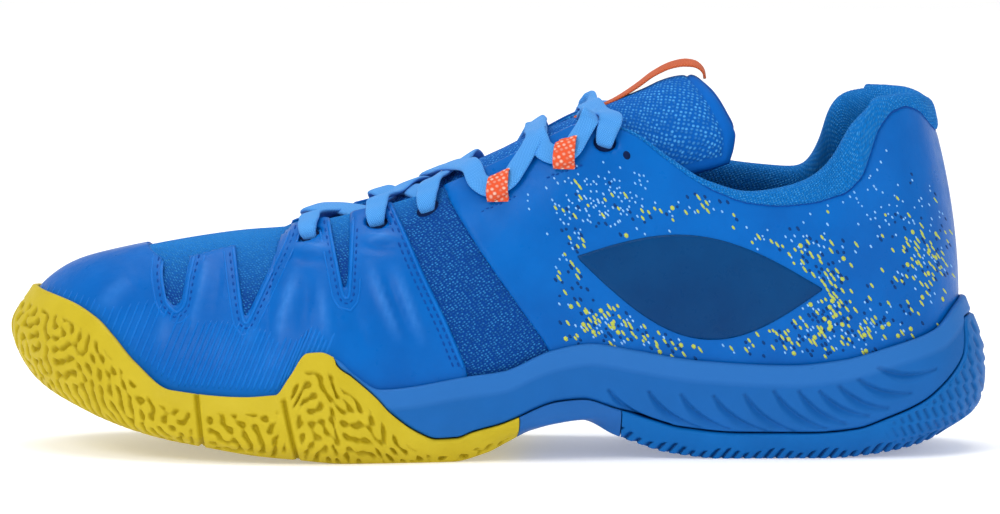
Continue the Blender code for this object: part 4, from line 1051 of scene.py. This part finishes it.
def lug_depth(x, z, bottom):
    """Saw-tooth notches along the heel's lower edge, short leaning dashes up its back."""
    rise = z - bottom
    phase = (x + 0.8 * rise) / 3.3
    tooth = phase % 1
    saw = np.clip(1.25 - tooth / 0.4, 0, 1) * np.clip((1.0 - tooth) / 0.12, 0, 1)
    notch = saw * np.clip((3.0 - rise - 0.8 * np.sin(phase * 1.3)) / 1.0, 0, 1)
    back = np.clip((-118 - x) / 8, 0, 1)
    row = np.floor(rise / 4.3)
    lean = ((x - 0.45 * rise + 1.3 * row) / 2.6) % 1
    dash = np.clip(1.5 - np.abs(lean - 0.5) / 0.14, 0, 1)
    dash = dash * back * np.clip((0.44 - np.abs((rise / 4.3) % 1 - 0.5)) / 0.1, 0, 1)
    return np.maximum(notch, 0.5 * dash * np.clip((rise - 2.6) / 0.8, 0, 1))


def make_heel():
    """Heel outsole: wall with saw-tooth notches and dashes, and the tread under it."""
    lateral, medial = (share_of_x(side, HEEL_FRONT) for side in (LATERAL, MEDIAL))
    grid, normals = wall_grid(wall_stations(lateral, 0, medial, 360), under_all, zone_top, 48)
    up = grid_runs(grid, 1)
    height = up[:, -1:]
    groove = lug_depth(grid[..., 0], grid[..., 2], grid[:, :1, 2])
    groove *= np.clip((height - up - 0.6) / 0.8, 0, 1)
    reach = np.minimum(height - up, up + 0.4)
    outer = grid + normals * (0.35 - LUG_DEEP * groove - edge_drop(reach, 0.8))[..., None]
    inner = grid - normals * 2.4
    tread, tread_depth = underside(np.linspace(0.001, lateral, 130), 90, herringbone)
    verts, faces = join([slab(outer, inner), tread])
    thing = add_object("heel_outsole", verts, faces, ["heel"])
    # Notch, dash and tread depth darken the heel rubber through its material: painted shade.
    tint(thing, verts, np.concatenate((with_inner(groove), tread_depth * 0.6)))
    place(thing, "shoe", "outsole_heel", "outsole_heel")


def arch_ribs(x, y):
    return 0.7 * np.clip(np.sin(y * 0.75), 0, 1)


def make_shank():
    """The arch plate: plain curved walls joined by a plate with long ribs under the arch."""
    parts = []
    ends = {side: [share_of_x(side, x) for x in (HEEL_FRONT + 0.3, YELLOW_REAR - 0.3)]
            for side in (LATERAL, MEDIAL)}
    for side in ends:
        stations = [(side, s) for s in np.linspace(*ends[side], 90)]
        grid, normals = wall_grid(stations, under_all, zone_top, 20)
        normals = normals * side * np.sign(normals[40, 8, 1])
        up = grid_runs(grid, 1)
        reach = np.minimum(up[:, -1:] - up, up + 0.4)
        outer = grid + normals * (0.2 - edge_drop(reach, 0.7))[..., None]
        parts.append(slab(outer, grid - normals * 2.4))
    parts.append(underside(np.linspace(*ends[LATERAL], 60), 110, arch_ribs)[0])
    place(add_object("arch_plate", *join(parts), ["shank"]), "shoe", "shank_plate",
          "shank_plate")


# ---------------------------------------------------------------- upper
def make_knit():
    """The knit upper, shown in the windows and the side panels, open only at the foot's mouth."""
    verts, faces = slab(GRID + NORMALS * MESH_OUT, GRID, closed=True)
    shut_rim = (np.arange(ROWS) == ROWS - 1)[None] & ~OPEN_TOP[:, None]
    shut_rim = np.tile(shut_rim.reshape(-1), 2)
    faces = [side for side in faces if not all(shut_rim[i] for i in side)]
    uv = np.stack([GRID[..., 0].reshape(-1), ARC.reshape(-1)], 1)
    thing = add_object("knit_upper", verts, faces, ["knit"], np.vstack([uv, uv]))
    place(thing, "shoe", "mesh_bootie", "mesh_bootie")


def outside(*outlines):
    """Distance of each wrap point outside side-view outlines and below the top line."""
    return np.minimum.reduce([TOP_GAP] + [-polygon_distance(SIDE_VIEW, rounded(outline))
                                          for outline in outlines])


def overlay_field():
    vamp = -polygon_distance(FLAT[:, :2], rounded(VAMP_MESH))
    return np.minimum(outside(OVERLAY_REAR, *WINDOWS),
                      np.where(FLAT[:, 2] > 52, vamp, NO_LIMIT))


def eyelet_field():
    """Distance to the nearest punched eyelet."""
    gap = np.full(len(FLAT), NO_LIMIT)
    for row, x in enumerate(EYELETS_X):
        if row not in LOOP_ROWS:
            for side in (LATERAL, MEDIAL):
                spot, along, fall, _ = on_upper(side, share_at(x), EYELET_DOWN[row], 0)
                wide, tall = (FLAT - spot) @ along / 3.4, (FLAT - spot) @ fall / 2.9
                near = np.linalg.norm(FLAT - spot, axis=1) < 8
                gap = np.where(near, np.minimum(gap, 3 * (np.hypot(wide, tall) - 1)), gap)
    return gap


# Folds of the forefoot film, as side-view lines: start, end, height, half width.
FOLDS = [((88.5, 60), (92.5, 40), 0.55, 1.5), ((84, 58), (86.5, 44), -0.4, 1.8),
         ((96, 52), (103, 34), 0.35, 2.2), ((112, 52), (121, 44), 0.4, 2.5),
         ((60.5, 56), (66, 37), 0.7, 1.6), ((57, 54), (59, 38), -0.55, 1.8),
         ((53.5, 52), (51.5, 38), 0.5, 1.5), ((38.5, 58), (30.5, 38), 0.6, 1.7),
         ((34.5, 56), (27, 38), -0.5, 1.8), ((30.5, 57), (23.5, 37), 0.55, 1.6),
         ((44, 46), (40, 34), -0.35, 2.4), ((72, 54), (75, 36), 0.35, 1.8)]
DENTS = [(57, 61.5), (35.5, 65)]   # where the film buckles under the first two eyelets


def make_overlay():
    """The forefoot's film with its windows, folds and the dents under the front eyelets."""
    first = int(RIBS * 0.28)
    dents = [lay([spot], side)[0][0] for spot in DENTS for side in (LATERAL, MEDIAL)]

    def relief(spots, depth):
        fold = np.zeros(len(spots))
        for start, end, height, wide in FOLDS:
            gap, where = path_distance(spots[:, [0, 2]], [start, end])
            ends = np.sin(np.clip(where, 0.03, 0.97) * math.pi) ** 0.6
            fold += 1.5 * height * np.exp(-(gap / (0.85 * wide)) ** 2) * ends
        fold *= np.clip((depth - 3.4) / 2.2, 0, 1)
        for dent in dents:
            gap = spots - dent
            away = np.exp(-(gap[:, 0] / 4.2) ** 2 - (gap[:, 1] / 9) ** 2)
            fold += 1.3 * away * np.exp(-((gap[:, 2] - 1.2) / 1.3) ** 2)
            fold -= 1.0 * away * np.exp(-((gap[:, 2] + 1.8) / 1.5) ** 2)
        return np.maximum(fold, -0.7) * np.clip(depth / 1.2, 0, 1)
    field = np.minimum(overlay_field(), eyelet_field())
    thing = skin("forefoot_film", (first, RING - first), field, FILM_IN, FILM_OUT, "creased",
                 relief)
    place(thing, "shoe", "forefoot_overlay", "forefoot_overlay")


def make_quarters():
    field = np.minimum(outside(QUARTER_FRONT, COLLAR_SEAM), eyelet_field())
    last = int(RIBS * 0.64)
    for word, ribs in (("lateral", (0, last)), ("medial", (-last, 0))):
        thing = skin(f"quarter_film_{word}", ribs, field, FILM_IN, FILM_OUT, "film")
        place(thing, "shoe", "quarter", f"quarter_{word}")


def leaf_outline():
    """The side panel: a leaf 76 mm long, bowed more below than above."""
    steps = np.linspace(0, 1, 25)
    low, high = ([(-24 - 76 * t, 62 + bow * math.sin(math.pi * t) - 10 * t) for t in steps]
                 for bow in (-20, 11))
    return low[:-1] + high[:0:-1]


def make_panels():
    field = polygon_distance(SIDE_VIEW, leaf_outline())
    last = int(RIBS * 0.6)
    for word, ribs in (("lateral", (10, last)), ("medial", (-last, -10))):
        thing = skin(f"leaf_panel_{word}", ribs, field, FILM_OUT + 0.02, LEAF_OUT, "navy")
        place(thing, "shoe", "side_panel", f"side_panel_{word}")


def share_at(x):
    """Share at which the outer top line passes x."""
    shares = np.linspace(0.3, 0.69, 400)
    return float(np.interp(x, [top_point(LATERAL, s)[0] for s in shares], shares))


def on_upper(side, share, down, lift):
    """A place on the upper: how far down from its top edge and how far off its inner face."""
    steps = np.linspace(1, 0.3, 141)
    line = rib(side, share, steps)
    t = float(np.interp(max(down, 0), run_along(line), steps))
    spot = rib(side, share, t) + min(down, 0) * unit(line[1] - line[0])
    along = unit(rib(side, share + 0.01, t) - rib(side, share - 0.01, t))
    fall = unit(rib(side, share, t - 0.01) - rib(side, share, min(t + 0.01, 1)))
    normal = unit(np.cross(along, fall))
    normal = normal if normal[2] > 0 else -normal
    return spot + normal * lift, along, fall, normal


# ---------------------------------------------------------------- collar, tongue, lace
def seam_rows():
    """For each rib, the row number where the collar seam crosses it, or the last one."""
    gap = -polygon_distance(SIDE_VIEW, rounded(COLLAR_SEAM)).reshape(RING, ROWS)
    found = []
    for line in gap:
        below = np.where(line > 0)[0]
        if len(below) == 0 or below[-1] == ROWS - 1:
            found.append(ROWS - 1.0)
        else:
            r = below[-1]
            found.append(r + line[r] / (line[r] - line[r + 1]))
    return np.array(found)


def row_at(k, row):
    """Place and outward direction on a rib, between two rows."""
    low = int(min(row, ROWS - 2))
    part = row - low
    k %= RING
    return (GRID[k, low] * (1 - part) + GRID[k, low + 1] * part,
            unit(NORMALS[k, low] * (1 - part) + NORMALS[k, low + 1] * part))


def make_collar(seams):
    """Padded knit collar: from the seam over the top line and down the inside to the footbed."""
    last = int(RIBS * 0.418)
    pad = smooth([(0, 6.0), (0.12, 6.5), (0.27, 5.2), (0.36, 3.2), (0.42, 1.2)])
    crown = smooth([(0, 2.2), (0.09, 3.0), (0.14, 2.7), (0.19, 2.2), (0.30, 1.7), (0.42, 0.5)])
    rings, widths = [], []
    for k in range(-last, last + 1):
        share = abs(k) / RIBS
        deep, tall = pad(share), crown(share)
        row = min(seams[k % RING], ROWS - 1.6)
        foot, foot_n = row_at(k, row)
        mid, mid_n = row_at(k, (row + ROWS - 1) / 2)
        top, top_n = row_at(k, ROWS - 1)
        span = np.linalg.norm(top - foot)
        puff = min(1.5, 0.25 * span)
        up = unit(top - row_at(k, ROWS - 4)[0])
        inside = [row_at(k, ROWS - 1 - d) for d in (4, 10, 20, 36, 56, 70)]
        depths = (deep * 0.96, deep, deep * 0.85, max(deep * 0.5 + 0.8, 3.2), 3.1, 3.0)
        outline = [foot + foot_n * (MESH_OUT + 0.1), foot + foot_n * (FILM_OUT - 0.15),
                   mid + mid_n * (FILM_OUT + puff),
                   top + top_n * (FILM_OUT + 0.5 * puff) + up * tall * 0.35,
                   top + top_n * (0.4 - 0.12 * deep) + up * tall,
                   top - top_n * deep * 0.62 + up * tall * 0.55]
        outline += [p - n * d for (p, n), d in zip(inside, depths)]
        back = [row_at(k, ROWS - 1 - d) for d in (70, 40, 12)]
        fine = curve(outline, 66)
        closing = [p - n * d for (p, n), d in zip(back, (0.5, 0.3, 0.0))]
        rings.append(np.vstack([fine, closing]))
        run = run_along(fine)
        widths.append(np.concatenate((run, [run[-1]] * 3)))
    rings = np.array(rings)
    for _ in range(3):
        rings[2:-2, 10:] = sum(rings[2 + d:len(rings) - 2 + d, 10:] for d in range(-2, 3)) / 5
    along = run_along(rings[:, 30])
    uv = np.stack([np.broadcast_to(along[:, None], rings.shape[:2]), np.array(widths)], -1)
    thing = add_object("collar_knit", *loft(rings), ["collar"], uv.reshape(-1, 2))
    place(thing, "shoe", "collar_lining", "collar_lining", "collar_foam")


def tongue_point(x, q):
    """Point of the tongue's upper face: q runs across it from -1 to 1."""
    height, half, fall, sweep = TONGUE_LINES
    bend = 1 - np.cos(q * math.pi / 2)
    return np.stack([x - sweep(x) * TONGUE_SWEEP(bend), half(x) * np.sin(q * math.pi / 2),
                     height(x) - fall(x) * bend], -1)


def make_tongue():
    """Padded tongue: mesh face inside a smooth rolled rim, soft lining behind."""
    length, across = 120, 81
    even = np.linspace(0, 1, length)
    xs = TONGUE[-1][0] + (TONGUE[0][0] - TONGUE[-1][0]) * (1 - (1 - even) ** 1.25)
    q = np.linspace(-1, 1, across)
    grid = np.array([tongue_point(np.full(across, x), q) for x in xs])
    normals = unit(np.cross(np.gradient(grid, axis=1), np.gradient(grid, axis=0)))
    normals = normals if normals[length // 2, across // 2, 2] > 0 else -normals
    run = run_along(grid[:, across // 2])
    cross = grid_runs(grid, 1)
    to_edge = np.minimum(cross, cross[:, -1:] - cross)
    to_end = (run[-1] - run)[:, None] + 0 * to_edge
    reach = np.minimum(to_edge, to_end)
    half = 3.0 * np.sqrt(1 - (1 - np.clip(reach / 3.6, 0, 1)) ** 2)
    groove = 0.55 * np.exp(-((reach - 3.9) / 0.6) ** 2)
    puff = 0.9 * np.clip((reach - 4) / 9, 0, 1)
    middle = grid - normals * 3.0
    outer = middle + normals * (half + puff - groove)[..., None]
    inner = middle - normals * half[..., None]
    verts, faces = slab(outer, inner)
    uv = np.stack([cross - cross[:, -1:] / 2, run[:, None] + 0 * cross], -1).reshape(-1, 2)
    rim = (reach < 3.9).reshape(-1)
    block = length * across
    pick = [1 if any(i >= block or rim[i] for i in side) else 0 for side in faces]
    thing = add_object("padded_tongue", verts, faces, ["tongue", "rim"], np.vstack([uv, uv]),
                       pick)
    place(thing, "tongue", "tongue", "tongue_face", "tongue_foam", "tongue_lining")


def ribbon(name, stations, look, per_span=8, sides=14):
    """A flat band with rounded edges through (place, width direction, width, thickness)."""
    places = np.array([s[0] for s in stations], float)
    knots = run_along(places)
    want = np.interp(np.arange(per_span * (len(knots) - 1) + 1) / per_span,
                     np.arange(len(knots)), knots)
    path = np.stack([smooth_through(knots, line)(want) for line in places.T], 1)
    rest = np.array([[*s[1], *s[2:]] for s in stations], float)
    rest = np.stack([np.interp(want, knots, line) for line in rest.T], 1)
    wides, sizes = rest[:, :3], rest[:, 3:]
    tangents = unit(np.gradient(path, axis=0))
    wides = unit(wides - tangents * np.sum(wides * tangents, 1, keepdims=True))
    highs = np.cross(tangents, wides)
    turns = np.linspace(0, 2 * math.pi, sides, endpoint=False)
    shape_a = np.sign(np.cos(turns)) * np.abs(np.cos(turns)) ** 0.5
    shape_b = np.sign(np.sin(turns)) * np.abs(np.sin(turns)) ** 0.7
    rings = (path[:, None] + wides[:, None] * (shape_a * 0.5)[None, :, None] * sizes[:, :1, None]
             + highs[:, None] * (shape_b * 0.5)[None, :, None] * sizes[:, 1:, None])
    run = run_along(path)
    uv = np.stack([sizes[:, :1] * shape_a[None] * 0.5, run[:, None] + 0 * shape_a[None]], -1)
    return add_object(name, *loft(rings), [look], uv.reshape(-1, 2)), run[-1]


LACE_OUTER, LACE_INNER = 1.7, 3.2   # height of each half's crossings over the tongue
LOOP_LOW = {3: 4.5, 4: 2.8}       # how much lower than the eyelets' edge the loops sit
LOOP_EXIT = {3: 1.0, 4: 0.5}      # how far behind its loop the lace comes out again


def eyelet_turn(side, share, deep):
    """Lace stations up through an eyelet and over the top edge."""
    turn = []
    for down, lift, width, thick in ((deep - 4.2, -1.7, 6.0, 1.1), (deep - 1.5, -1.5, 4.8, 1.1),
                                     (deep + 0.6, 0.6, 4.2, 1.6), (deep + 0.2, 2.9, 5.4, 2.2),
                                     (deep - 2.3, 4.0, 6.4, 2.0),
                                     (0.45 * deep - 1.0, 3.8, 6.9, 1.7), (0.2, 3.9, 7.2, 1.5)):
        spot, along, _, _ = on_upper(side, share, down, lift)
        turn.append((spot, along, width, thick))
    return turn


def loop_turn(side, share, row):
    """Lace stations down into a webbing loop and back up behind it."""
    turn = []
    low, back = LOOP_LOW[row], LOOP_EXIT[row]
    for step, down, lift, lean in ((0.030, 0.6, 4.4, 1.1), (0.020, 4.6 + low * 0.7, 4.0, 0.9),
                                   (0.008, 7.0 + low, 4.0, 0.45),
                                   (-0.008 * back, 7.0 + low, 4.0, -0.45),
                                   (-0.018 * back, 4.6 + low * 0.7, 4.0, -1.0 * back),
                                   (-0.030 * back, 0.6, 4.4, -1.2 * back)):
        spot, along, fall, _ = on_upper(side, share + step, down, lift)
        turn.append((spot, unit(fall + lean * along), 6.4, 1.4))
    return turn


def crossing(start, end, height, ahead=0.0):
    """A taut lace run over the tongue between two turns, bowed towards the toe if asked."""
    first, last = np.array(start[0]), np.array(end[0])
    height_at = TONGUE_LINES[0]
    run = []
    for share in (0.28, 0.5, 0.72):
        spot = first * (1 - share) + last * share
        spot[0] += ahead * math.sin(share * math.pi)
        tall, half, fall, _ = (line(spot[0]) for line in TONGUE_LINES)
        bend = 1 - math.sqrt(max(1 - (spot[1] / half) ** 2, 0))
        taut = spot[2] + (height - 1.2) * math.sin(share * math.pi)
        spot[2] = max(tall - fall * bend + height, taut)
        slope = (height_at(spot[0] + 1) - height_at(spot[0] - 1)) / 2
        wide = unit(np.cross(unit(last - first), (-slope, 0, 1)))
        run.append((spot, wide, 7.4, 1.4))
    return run


def aligned(stations):
    """Stations with their width directions turned so that the band never flips over."""
    fixed = [stations[0]]
    for place_at, wide, width, thick in stations[1:]:
        wide = np.array(wide, float)
        fixed.append((place_at, -wide if np.dot(wide, fixed[-1][1]) < 0 else wide,
                      width, thick))
    return fixed


def lace_half(first_side, height):
    """Half of the lace, from the bar at the first eyelets up to its tucked end."""
    shares = [share_at(x) for x in EYELETS_X]
    last = len(shares) - 1
    side = first_side
    path = eyelet_turn(side, shares[0], EYELET_DOWN[0])
    for row in range(1, last + 1):
        side = -side
        turn = (loop_turn(side, shares[row], row) if row in LOOP_ROWS
                else eyelet_turn(side, shares[row], EYELET_DOWN[row]))
        if row == last:
            turn = turn[:1:-1]
        path += crossing(path[-1], turn[0], height, 3.0 if row == last else 0.0) + turn
    for step, down, lift, width in ((0.005, 7.0, -1.9, 3.0), (0.022, 8, -1.9, 4.4),
                                    (0.045, 8, -1.8, 4.4), (0.065, 8, -1.8, 4.4)):
        spot, _, fall, _ = on_upper(side, shares[last] + step, down, lift)
        path.append((spot, fall, width, 1.1))
    return path


def make_lace():
    """The flat lace, crossing row by row, and its two tucked tips; gives the lace's length."""
    outer, inner = lace_half(LATERAL, LACE_OUTER), lace_half(MEDIAL, LACE_INNER)
    bar = crossing(outer[0], inner[0], 1.8)
    thing, length = ribbon("flat_lace", aligned(outer[::-1] + bar + inner), "lace")
    place(thing, "shoe", "lace", "lace")
    for word, path in (("lateral", inner), ("medial", outer)):
        end = np.array(path[-1][0])
        run = unit(end - np.array(path[-2][0]))
        stations = [(end + run * d, path[-1][1], w, w * 0.45) for d, w in
                    ((-0.4, 3.2), (8, 3.2), (15.4, 3.2), (16, 2.2))]
        tip, _ = ribbon(f"lace_tip_{word}", stations, "tip", 4)
        place(tip, "shoe", "lace_tip", f"aglet_{word}")
    return length


def make_loops():
    """The four webbing loops and the short stitch row under each."""
    marks = []
    for row in LOOP_ROWS:
        share, low = share_at(EYELETS_X[row]), LOOP_LOW[row]
        for side, word in ((LATERAL, "lateral"), (MEDIAL, "medial")):
            stations = []
            for down, lift in ((12.0, 2.7), (11.4, 3.1), (10.9, 4.3), (10.0, 5.2), (7.2, 5.8),
                               (4.4, 5.2), (3.5, 4.3), (3.0, 3.1), (2.4, 2.7)):
                spot, along, _, _ = on_upper(side, share, down + low, lift)
                stations.append((spot, along, 6.8, 1.0))
            loop, _ = ribbon(f"webbing_loop_{word}_{row + 1}", stations, "orange", 6)
            place(loop, "shoe", "webbing", f"lace_loop_{word}_{row + 1}")
            for k in range(8):
                spot, along, _, normal = on_upper(side, share, 12.6 + low + 0.35 * (k % 2),
                                                  FILM_OUT)
                here = spot + along * (k - 3.6) * 1.5
                marks.append(bead([(here + along * step, normal) for step in (-0.5, 0, 0.5)],
                                  0.6, 0.25, 0.3, 0.5, 6))
    place(add_object("loop_stitches", *join(marks), ["thread"]), "shoe", "quarter")


def make_strap():
    """The pull strap: sewn flat on the tongue, arching free over its end."""
    height = TONGUE_LINES[0]
    path = [(-24, height(-24) + 0.7), (-31, height(-31) + 0.9), (-38, height(-38) + 1.4),
            (-43, 111.7), (-48.5, 115.7), (-54, 118.3), (-58.5, 119.0), (-61.8, 118.3),
            (-63.7, 116.4), (-64.2, 114.2)]
    lean = [0, 0, 0.1, 0.2, 0.25, 0.3, 0.35, 0.3, 0.2, 0.1]
    stations = [((x, 0, z), (0, math.cos(a), -math.sin(a)), 5.5, 0.9)
                for (x, z), a in zip(path, lean)]
    strap, _ = ribbon("pull_tab", stations, "strap", 8)
    place(strap, "tongue", "webbing", "pull_strap")


def make_insole():
    """Loose insole: cloth top with a raised rim."""
    rows, top_height, low_height = 26, 6.0, 2.2
    ring = GRID[:, 0] - NORMALS[:, 0] * 3.4
    centre = (ring + ring[(-np.arange(RING)) % RING]) / 2
    share = np.linspace(0, 1, rows)
    top = ring[:, None] * (1 - share[None, :, None]) + centre[:, None] * share[None, :, None]
    low = top.copy()
    low[..., 2] = FOOTBED_Z(top[..., 0]) + low_height
    rise = 2.6 * np.exp(-(share * 34 / 5.5) ** 2)
    top[..., 2] = FOOTBED_Z(top[..., 0]) + top_height + rise[None]
    verts, faces = slab(top, low, closed=True)
    faces = [f for f in faces if not all(i % rows == rows - 1 for i in f)]
    thing = add_object("cloth_insole", verts, faces, ["insole"],
                       np.tile(top.reshape(-1, 3)[:, :2], (2, 1)))
    place(thing, "insole", "insole", "insole")


# ---------------------------------------------------------------- lines, stitches and print
# Edge embossing of the forefoot film: x against its foot's height, its height and its relief.
EMBOSS_FOOT = ([48, 63, 67, 98, 109, 123, 132, 145], [31, 26, 21, 22, 29, 41, 44.5, 47.5])
EMBOSS_TALL = ([50, 63, 88, 96, 112, 119, 126, 142], [8, 15, 20, 20, 16, 7, 4.5, 2.6])
EMBOSS_RELIEF = ([52, 70, 95, 140], [0.09, 0.13, 0.22, 0.26])
EMBOSS_LEAN = 0.42


def make_trim(seams):
    """Stitch rows, raised borders, embossed ribs and the dark seam under the collar."""
    dark, ribs = [], []
    rear_path = curve(OVERLAY_REAR[1:6], 40)
    for side in (LATERAL, MEDIAL):
        for shift in (1.6, 3.4):
            dark += stitches(rear_path + [shift, 0], side)
        ribs += beads(rear_path + [0.55, 0], side, 0.9, 0.22)
        for soft in (rounded(outline) for outline in WINDOWS):
            dark += stitches([p for p in grow(soft, 1.9) if p[1] < 72], side, 2.0, 1.1)
            for out, limit, width, height in ((0.6, 74, 1.1, 0.3), (3.6, 70, 0.7, 0.16)):
                border = [p for p in grow(soft, out) if p[1] < limit]
                ribs += beads(border, side, width, height)
        for x in np.arange(141, 52, -1.75):
            foot, tall = np.interp(x, *EMBOSS_FOOT) + 1, np.interp(x, *EMBOSS_TALL)
            path = [(x - EMBOSS_LEAN * rise, foot + rise) for rise in (0, tall * 0.5, tall)]
            ribs += beads(path, side, 0.85, np.interp(x, *EMBOSS_RELIEF), 1.2)
    seam = []
    last = int(RIBS * 0.4)
    for k in range(-last, last + 2):
        row = seams[k % RING]
        if k <= last and row < ROWS - 1.2:
            spot, normal = row_at(k, row)
            seam.append((spot + normal * (FILM_OUT - 0.35), normal))
        elif seam:
            dark.append(bead(seam, 0.8, 0.3))
            seam = []
    # Raised borders and embossed ribs take the lighter rib film: painted highlight on them.
    for name, parts, look in (("stitch_rows", dark, "thread"), ("film_ribs", ribs, "rib")):
        place(add_object(name, *join(parts), [look]), "shoe", "forefoot_overlay")


PRINT_LEAN = 0.95         # the dashes' fall towards the heel, in radians

# Patches of the quarter's print: middle (x, z), half sizes, weight, share of yellow.
PATCHES = [(-101, 46, 9, 13, 1.0, 0.5), (-97, 64, 7, 8, 0.5, 0.35), (-118, 40, 12, 6, 0.5, 0.4),
           (-133, 60, 8, 10, 0.95, 0.55), (-124, 76, 9, 8, 0.45, 0.05),
           (-112, 84, 7, 7, 0.3, 0.0), (-32, 79, 13, 8, 0.75, 0.06), (-23, 63, 4, 12, 0.6, 0.4),
           (-34, 41, 11, 6, 0.95, 0.5), (-52, 36, 14, 4, 0.6, 0.5), (-46, 72, 9, 5, 0.3, 0.6),
           (-62, 78, 12, 4, 0.35, 0.4), (-82, 66, 9, 4, 0.4, 0.3), (-84, 37, 14, 4, 0.7, 0.45)]


def speck_chance(x, z):
    """How thickly the print covers a side-view place, and how much of it is yellow."""
    shares = [weight * math.exp(-((x - cx) / rx) ** 2 - ((z - cz) / rz) ** 2)
              for cx, cz, rx, rz, weight, _ in PATCHES]
    total = sum(shares)
    yellow = sum(s * p[5] for s, p in zip(shares, PATCHES)) / max(total, 1e-6)
    return min(total, 1.0), yellow


def make_print():
    """Printed dashes and dots on the quarters, laid in loose slanted rows."""
    inks = {"ink_yellow": [], "ink_pale": [], "ink_dark": []}
    leaf = np.array(leaf_outline())
    slant = np.array([-math.cos(PRINT_LEAN), -math.sin(PRINT_LEAN)])
    cross = np.array([-slant[1], slant[0]])
    steps = [(i, j) for i in range(-72, 72) for j in range(-50, 74)]
    jitters = RANDOM.uniform(-0.3, 0.3, (len(steps), 2))
    spots = np.array([-80.0, 60.0]) + (np.array(steps) + jitters) @ np.array(
        [cross * 1.15, slant * 1.6])
    gap = np.maximum.reduce([polygon_distance(spots, outline) for outline in
                             (leaf, np.array(COLLAR_SEAM), np.array(QUARTER_FRONT))])
    inside = (spots[:, 0] > -141) & (spots[:, 0] < 2) & (spots[:, 1] > 30) & (gap < -1.2)
    for side in (LATERAL, MEDIAL):
        for spot in spots[inside]:
            chance, colour, size, kind = RANDOM.uniform(size=4)
            density, yellow = speck_chance(*spot)
            if chance > 0.95 * density:
                continue
            if colour < yellow:
                ink, width, length = "ink_yellow", 0.8, 1.1 + 1.3 * size
                if kind > 0.86:
                    width, length = 1.4, 1.5
            elif colour < yellow + 0.3 * min(1, 2.5 * yellow):
                ink, width, length = "ink_dark", 0.9, 0.8 + 0.8 * size
            else:
                ink, width, length = "ink_pale", 0.6, 0.5 + 0.5 * size + 0.5 * yellow
            away = slant * length / 2
            placed = lay([spot - away, spot, spot + away], side)
            if all(p is not None for p in placed):
                inks[ink].append(bead(placed, width, 0.07, 0.2, 0.55, 6))
    for ink, parts in inks.items():
        place(add_object(f"print_{ink[4:]}", *join(parts), [ink]), "shoe", "quarter")


def make_eyelet_shadows():
    """Dark discs of painted shade in each punched eyelet, and on the spare hole above the rows.
    """
    rows = [(share_at(x), EYELET_DOWN[row], 3.5, 3.0, MESH_OUT + 0.08)
            for row, x in enumerate(EYELETS_X) if row not in LOOP_ROWS]
    rows.append((share_at(EYELETS_X[5]) - 0.022, 7.0, 1.25, 1.25, FILM_OUT + 0.04))
    parts = []
    turns = np.linspace(0, 2 * math.pi, 24, endpoint=False)[:, None]
    for side in (LATERAL, MEDIAL):
        for share, down, wide, tall, lift in rows:
            spot, along, fall, normal = on_upper(side, share, down, 0)
            parts.append(loft([spot + normal * high + scale * (
                wide * along * np.cos(turns) + tall * fall * np.sin(turns))
                for scale, high in ((1, lift - 0.4), (1, lift), (0.1, lift))]))
    place(add_object("eyelet_shadows", *join(parts), ["hole"]), "shoe", "quarter")


# ---------------------------------------------------------------- stage
def make_stage():
    """A wide white studio floor under even light that is brightest near the horizon."""
    floor_look, tree, base = shader("floor_paint", 0.6, Emission_Color=(1, 1, 1, 1),
                                    Emission_Strength=0.3)
    colour(tree, base, noise(tree, coordinates(tree), 2.0), (0.9, 0.9, 0.9), (0.93, 0.93, 0.93))
    reach = 16.0          # metres from the shoe to each edge of the floor
    mesh = bpy.data.meshes.new("studio_floor")
    mesh.from_pydata([(-reach, -reach, 0), (reach, -reach, 0), (reach, reach, 0),
                      (-reach, reach, 0)], [], [(0, 1, 2, 3)])
    mesh.materials.append(floor_look)
    floor = bpy.data.objects.new("studio_floor", mesh)
    bpy.context.scene.collection.objects.link(floor)
    world = bpy.data.worlds.new("studio")
    world.use_nodes = True
    tree = world.node_tree
    rise = add_node(tree, "ShaderNodeSeparateXYZ",
                    Vector=coordinates(tree, "Generated")).outputs[2]
    tree.links.new(remap(tree, rise, 0.25, 0.6, 1.0, 0.42),
                   tree.nodes["Background"].inputs["Strength"])
    tree.nodes["Background"].inputs["Color"].default_value = (1, 1, 1, 1)
    bpy.context.scene.world = world
    for name, spot, size, power in (("key", (1.1, 1.3, 1.5), 1.0, 17),
                                    ("fill", (-1.4, 1.6, 0.9), 1.6, 5),
                                    ("top", (0.0, -0.3, 2.0), 1.6, 24)):
        light = bpy.data.lights.new(name, "AREA")
        light.size = size
        light.energy = power
        lamp = bpy.data.objects.new(name, light)
        lamp.location = spot
        lamp.rotation_euler = (Vector((0, 0, 0.05)) - Vector(spot)).to_track_quat(
            "-Z", "Y").to_euler()
        bpy.context.scene.collection.objects.link(lamp)


def make_camera():
    """The outer side from 5 degrees above, as in a catalogue picture."""
    far, rise, view_width = 4.0, math.radians(5), 0.307
    target = Vector((-0.0008, 0, 0.059))
    lens = bpy.data.cameras.new("camera")
    lens.sensor_width = 36
    lens.lens = lens.sensor_width * (far - 0.02) / view_width
    eye = bpy.data.objects.new("camera", lens)
    eye.location = target + Vector((0, far * math.cos(rise), far * math.sin(rise)))
    eye.rotation_euler = (target - eye.location).to_track_quat("-Z", "Y").to_euler()
    bpy.context.scene.collection.objects.link(eye)
    bpy.context.scene.camera = eye


def main():
    for make in (make_midsole, make_forefoot, make_heel, make_shank, make_insole, make_knit,
                 make_overlay, make_quarters, make_panels):
        make()
    seams = seam_rows()
    make_collar(seams)
    make_tongue()
    length = make_lace()
    make_loops()
    make_strap()
    make_trim(seams)
    make_print()
    make_eyelet_shadows()
    for node, look in (("strobel_board", "board"), ("toe_puff", "plastic"),
                       ("heel_counter", "plastic")):
        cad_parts[node].data.materials.clear()
        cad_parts[node].data.materials.append(PAINT[look])
    make_stage()
    make_camera()
    bpy.context.scene.view_settings.view_transform = "Standard"
    print(f"lace length {length:.0f} mm")


main()
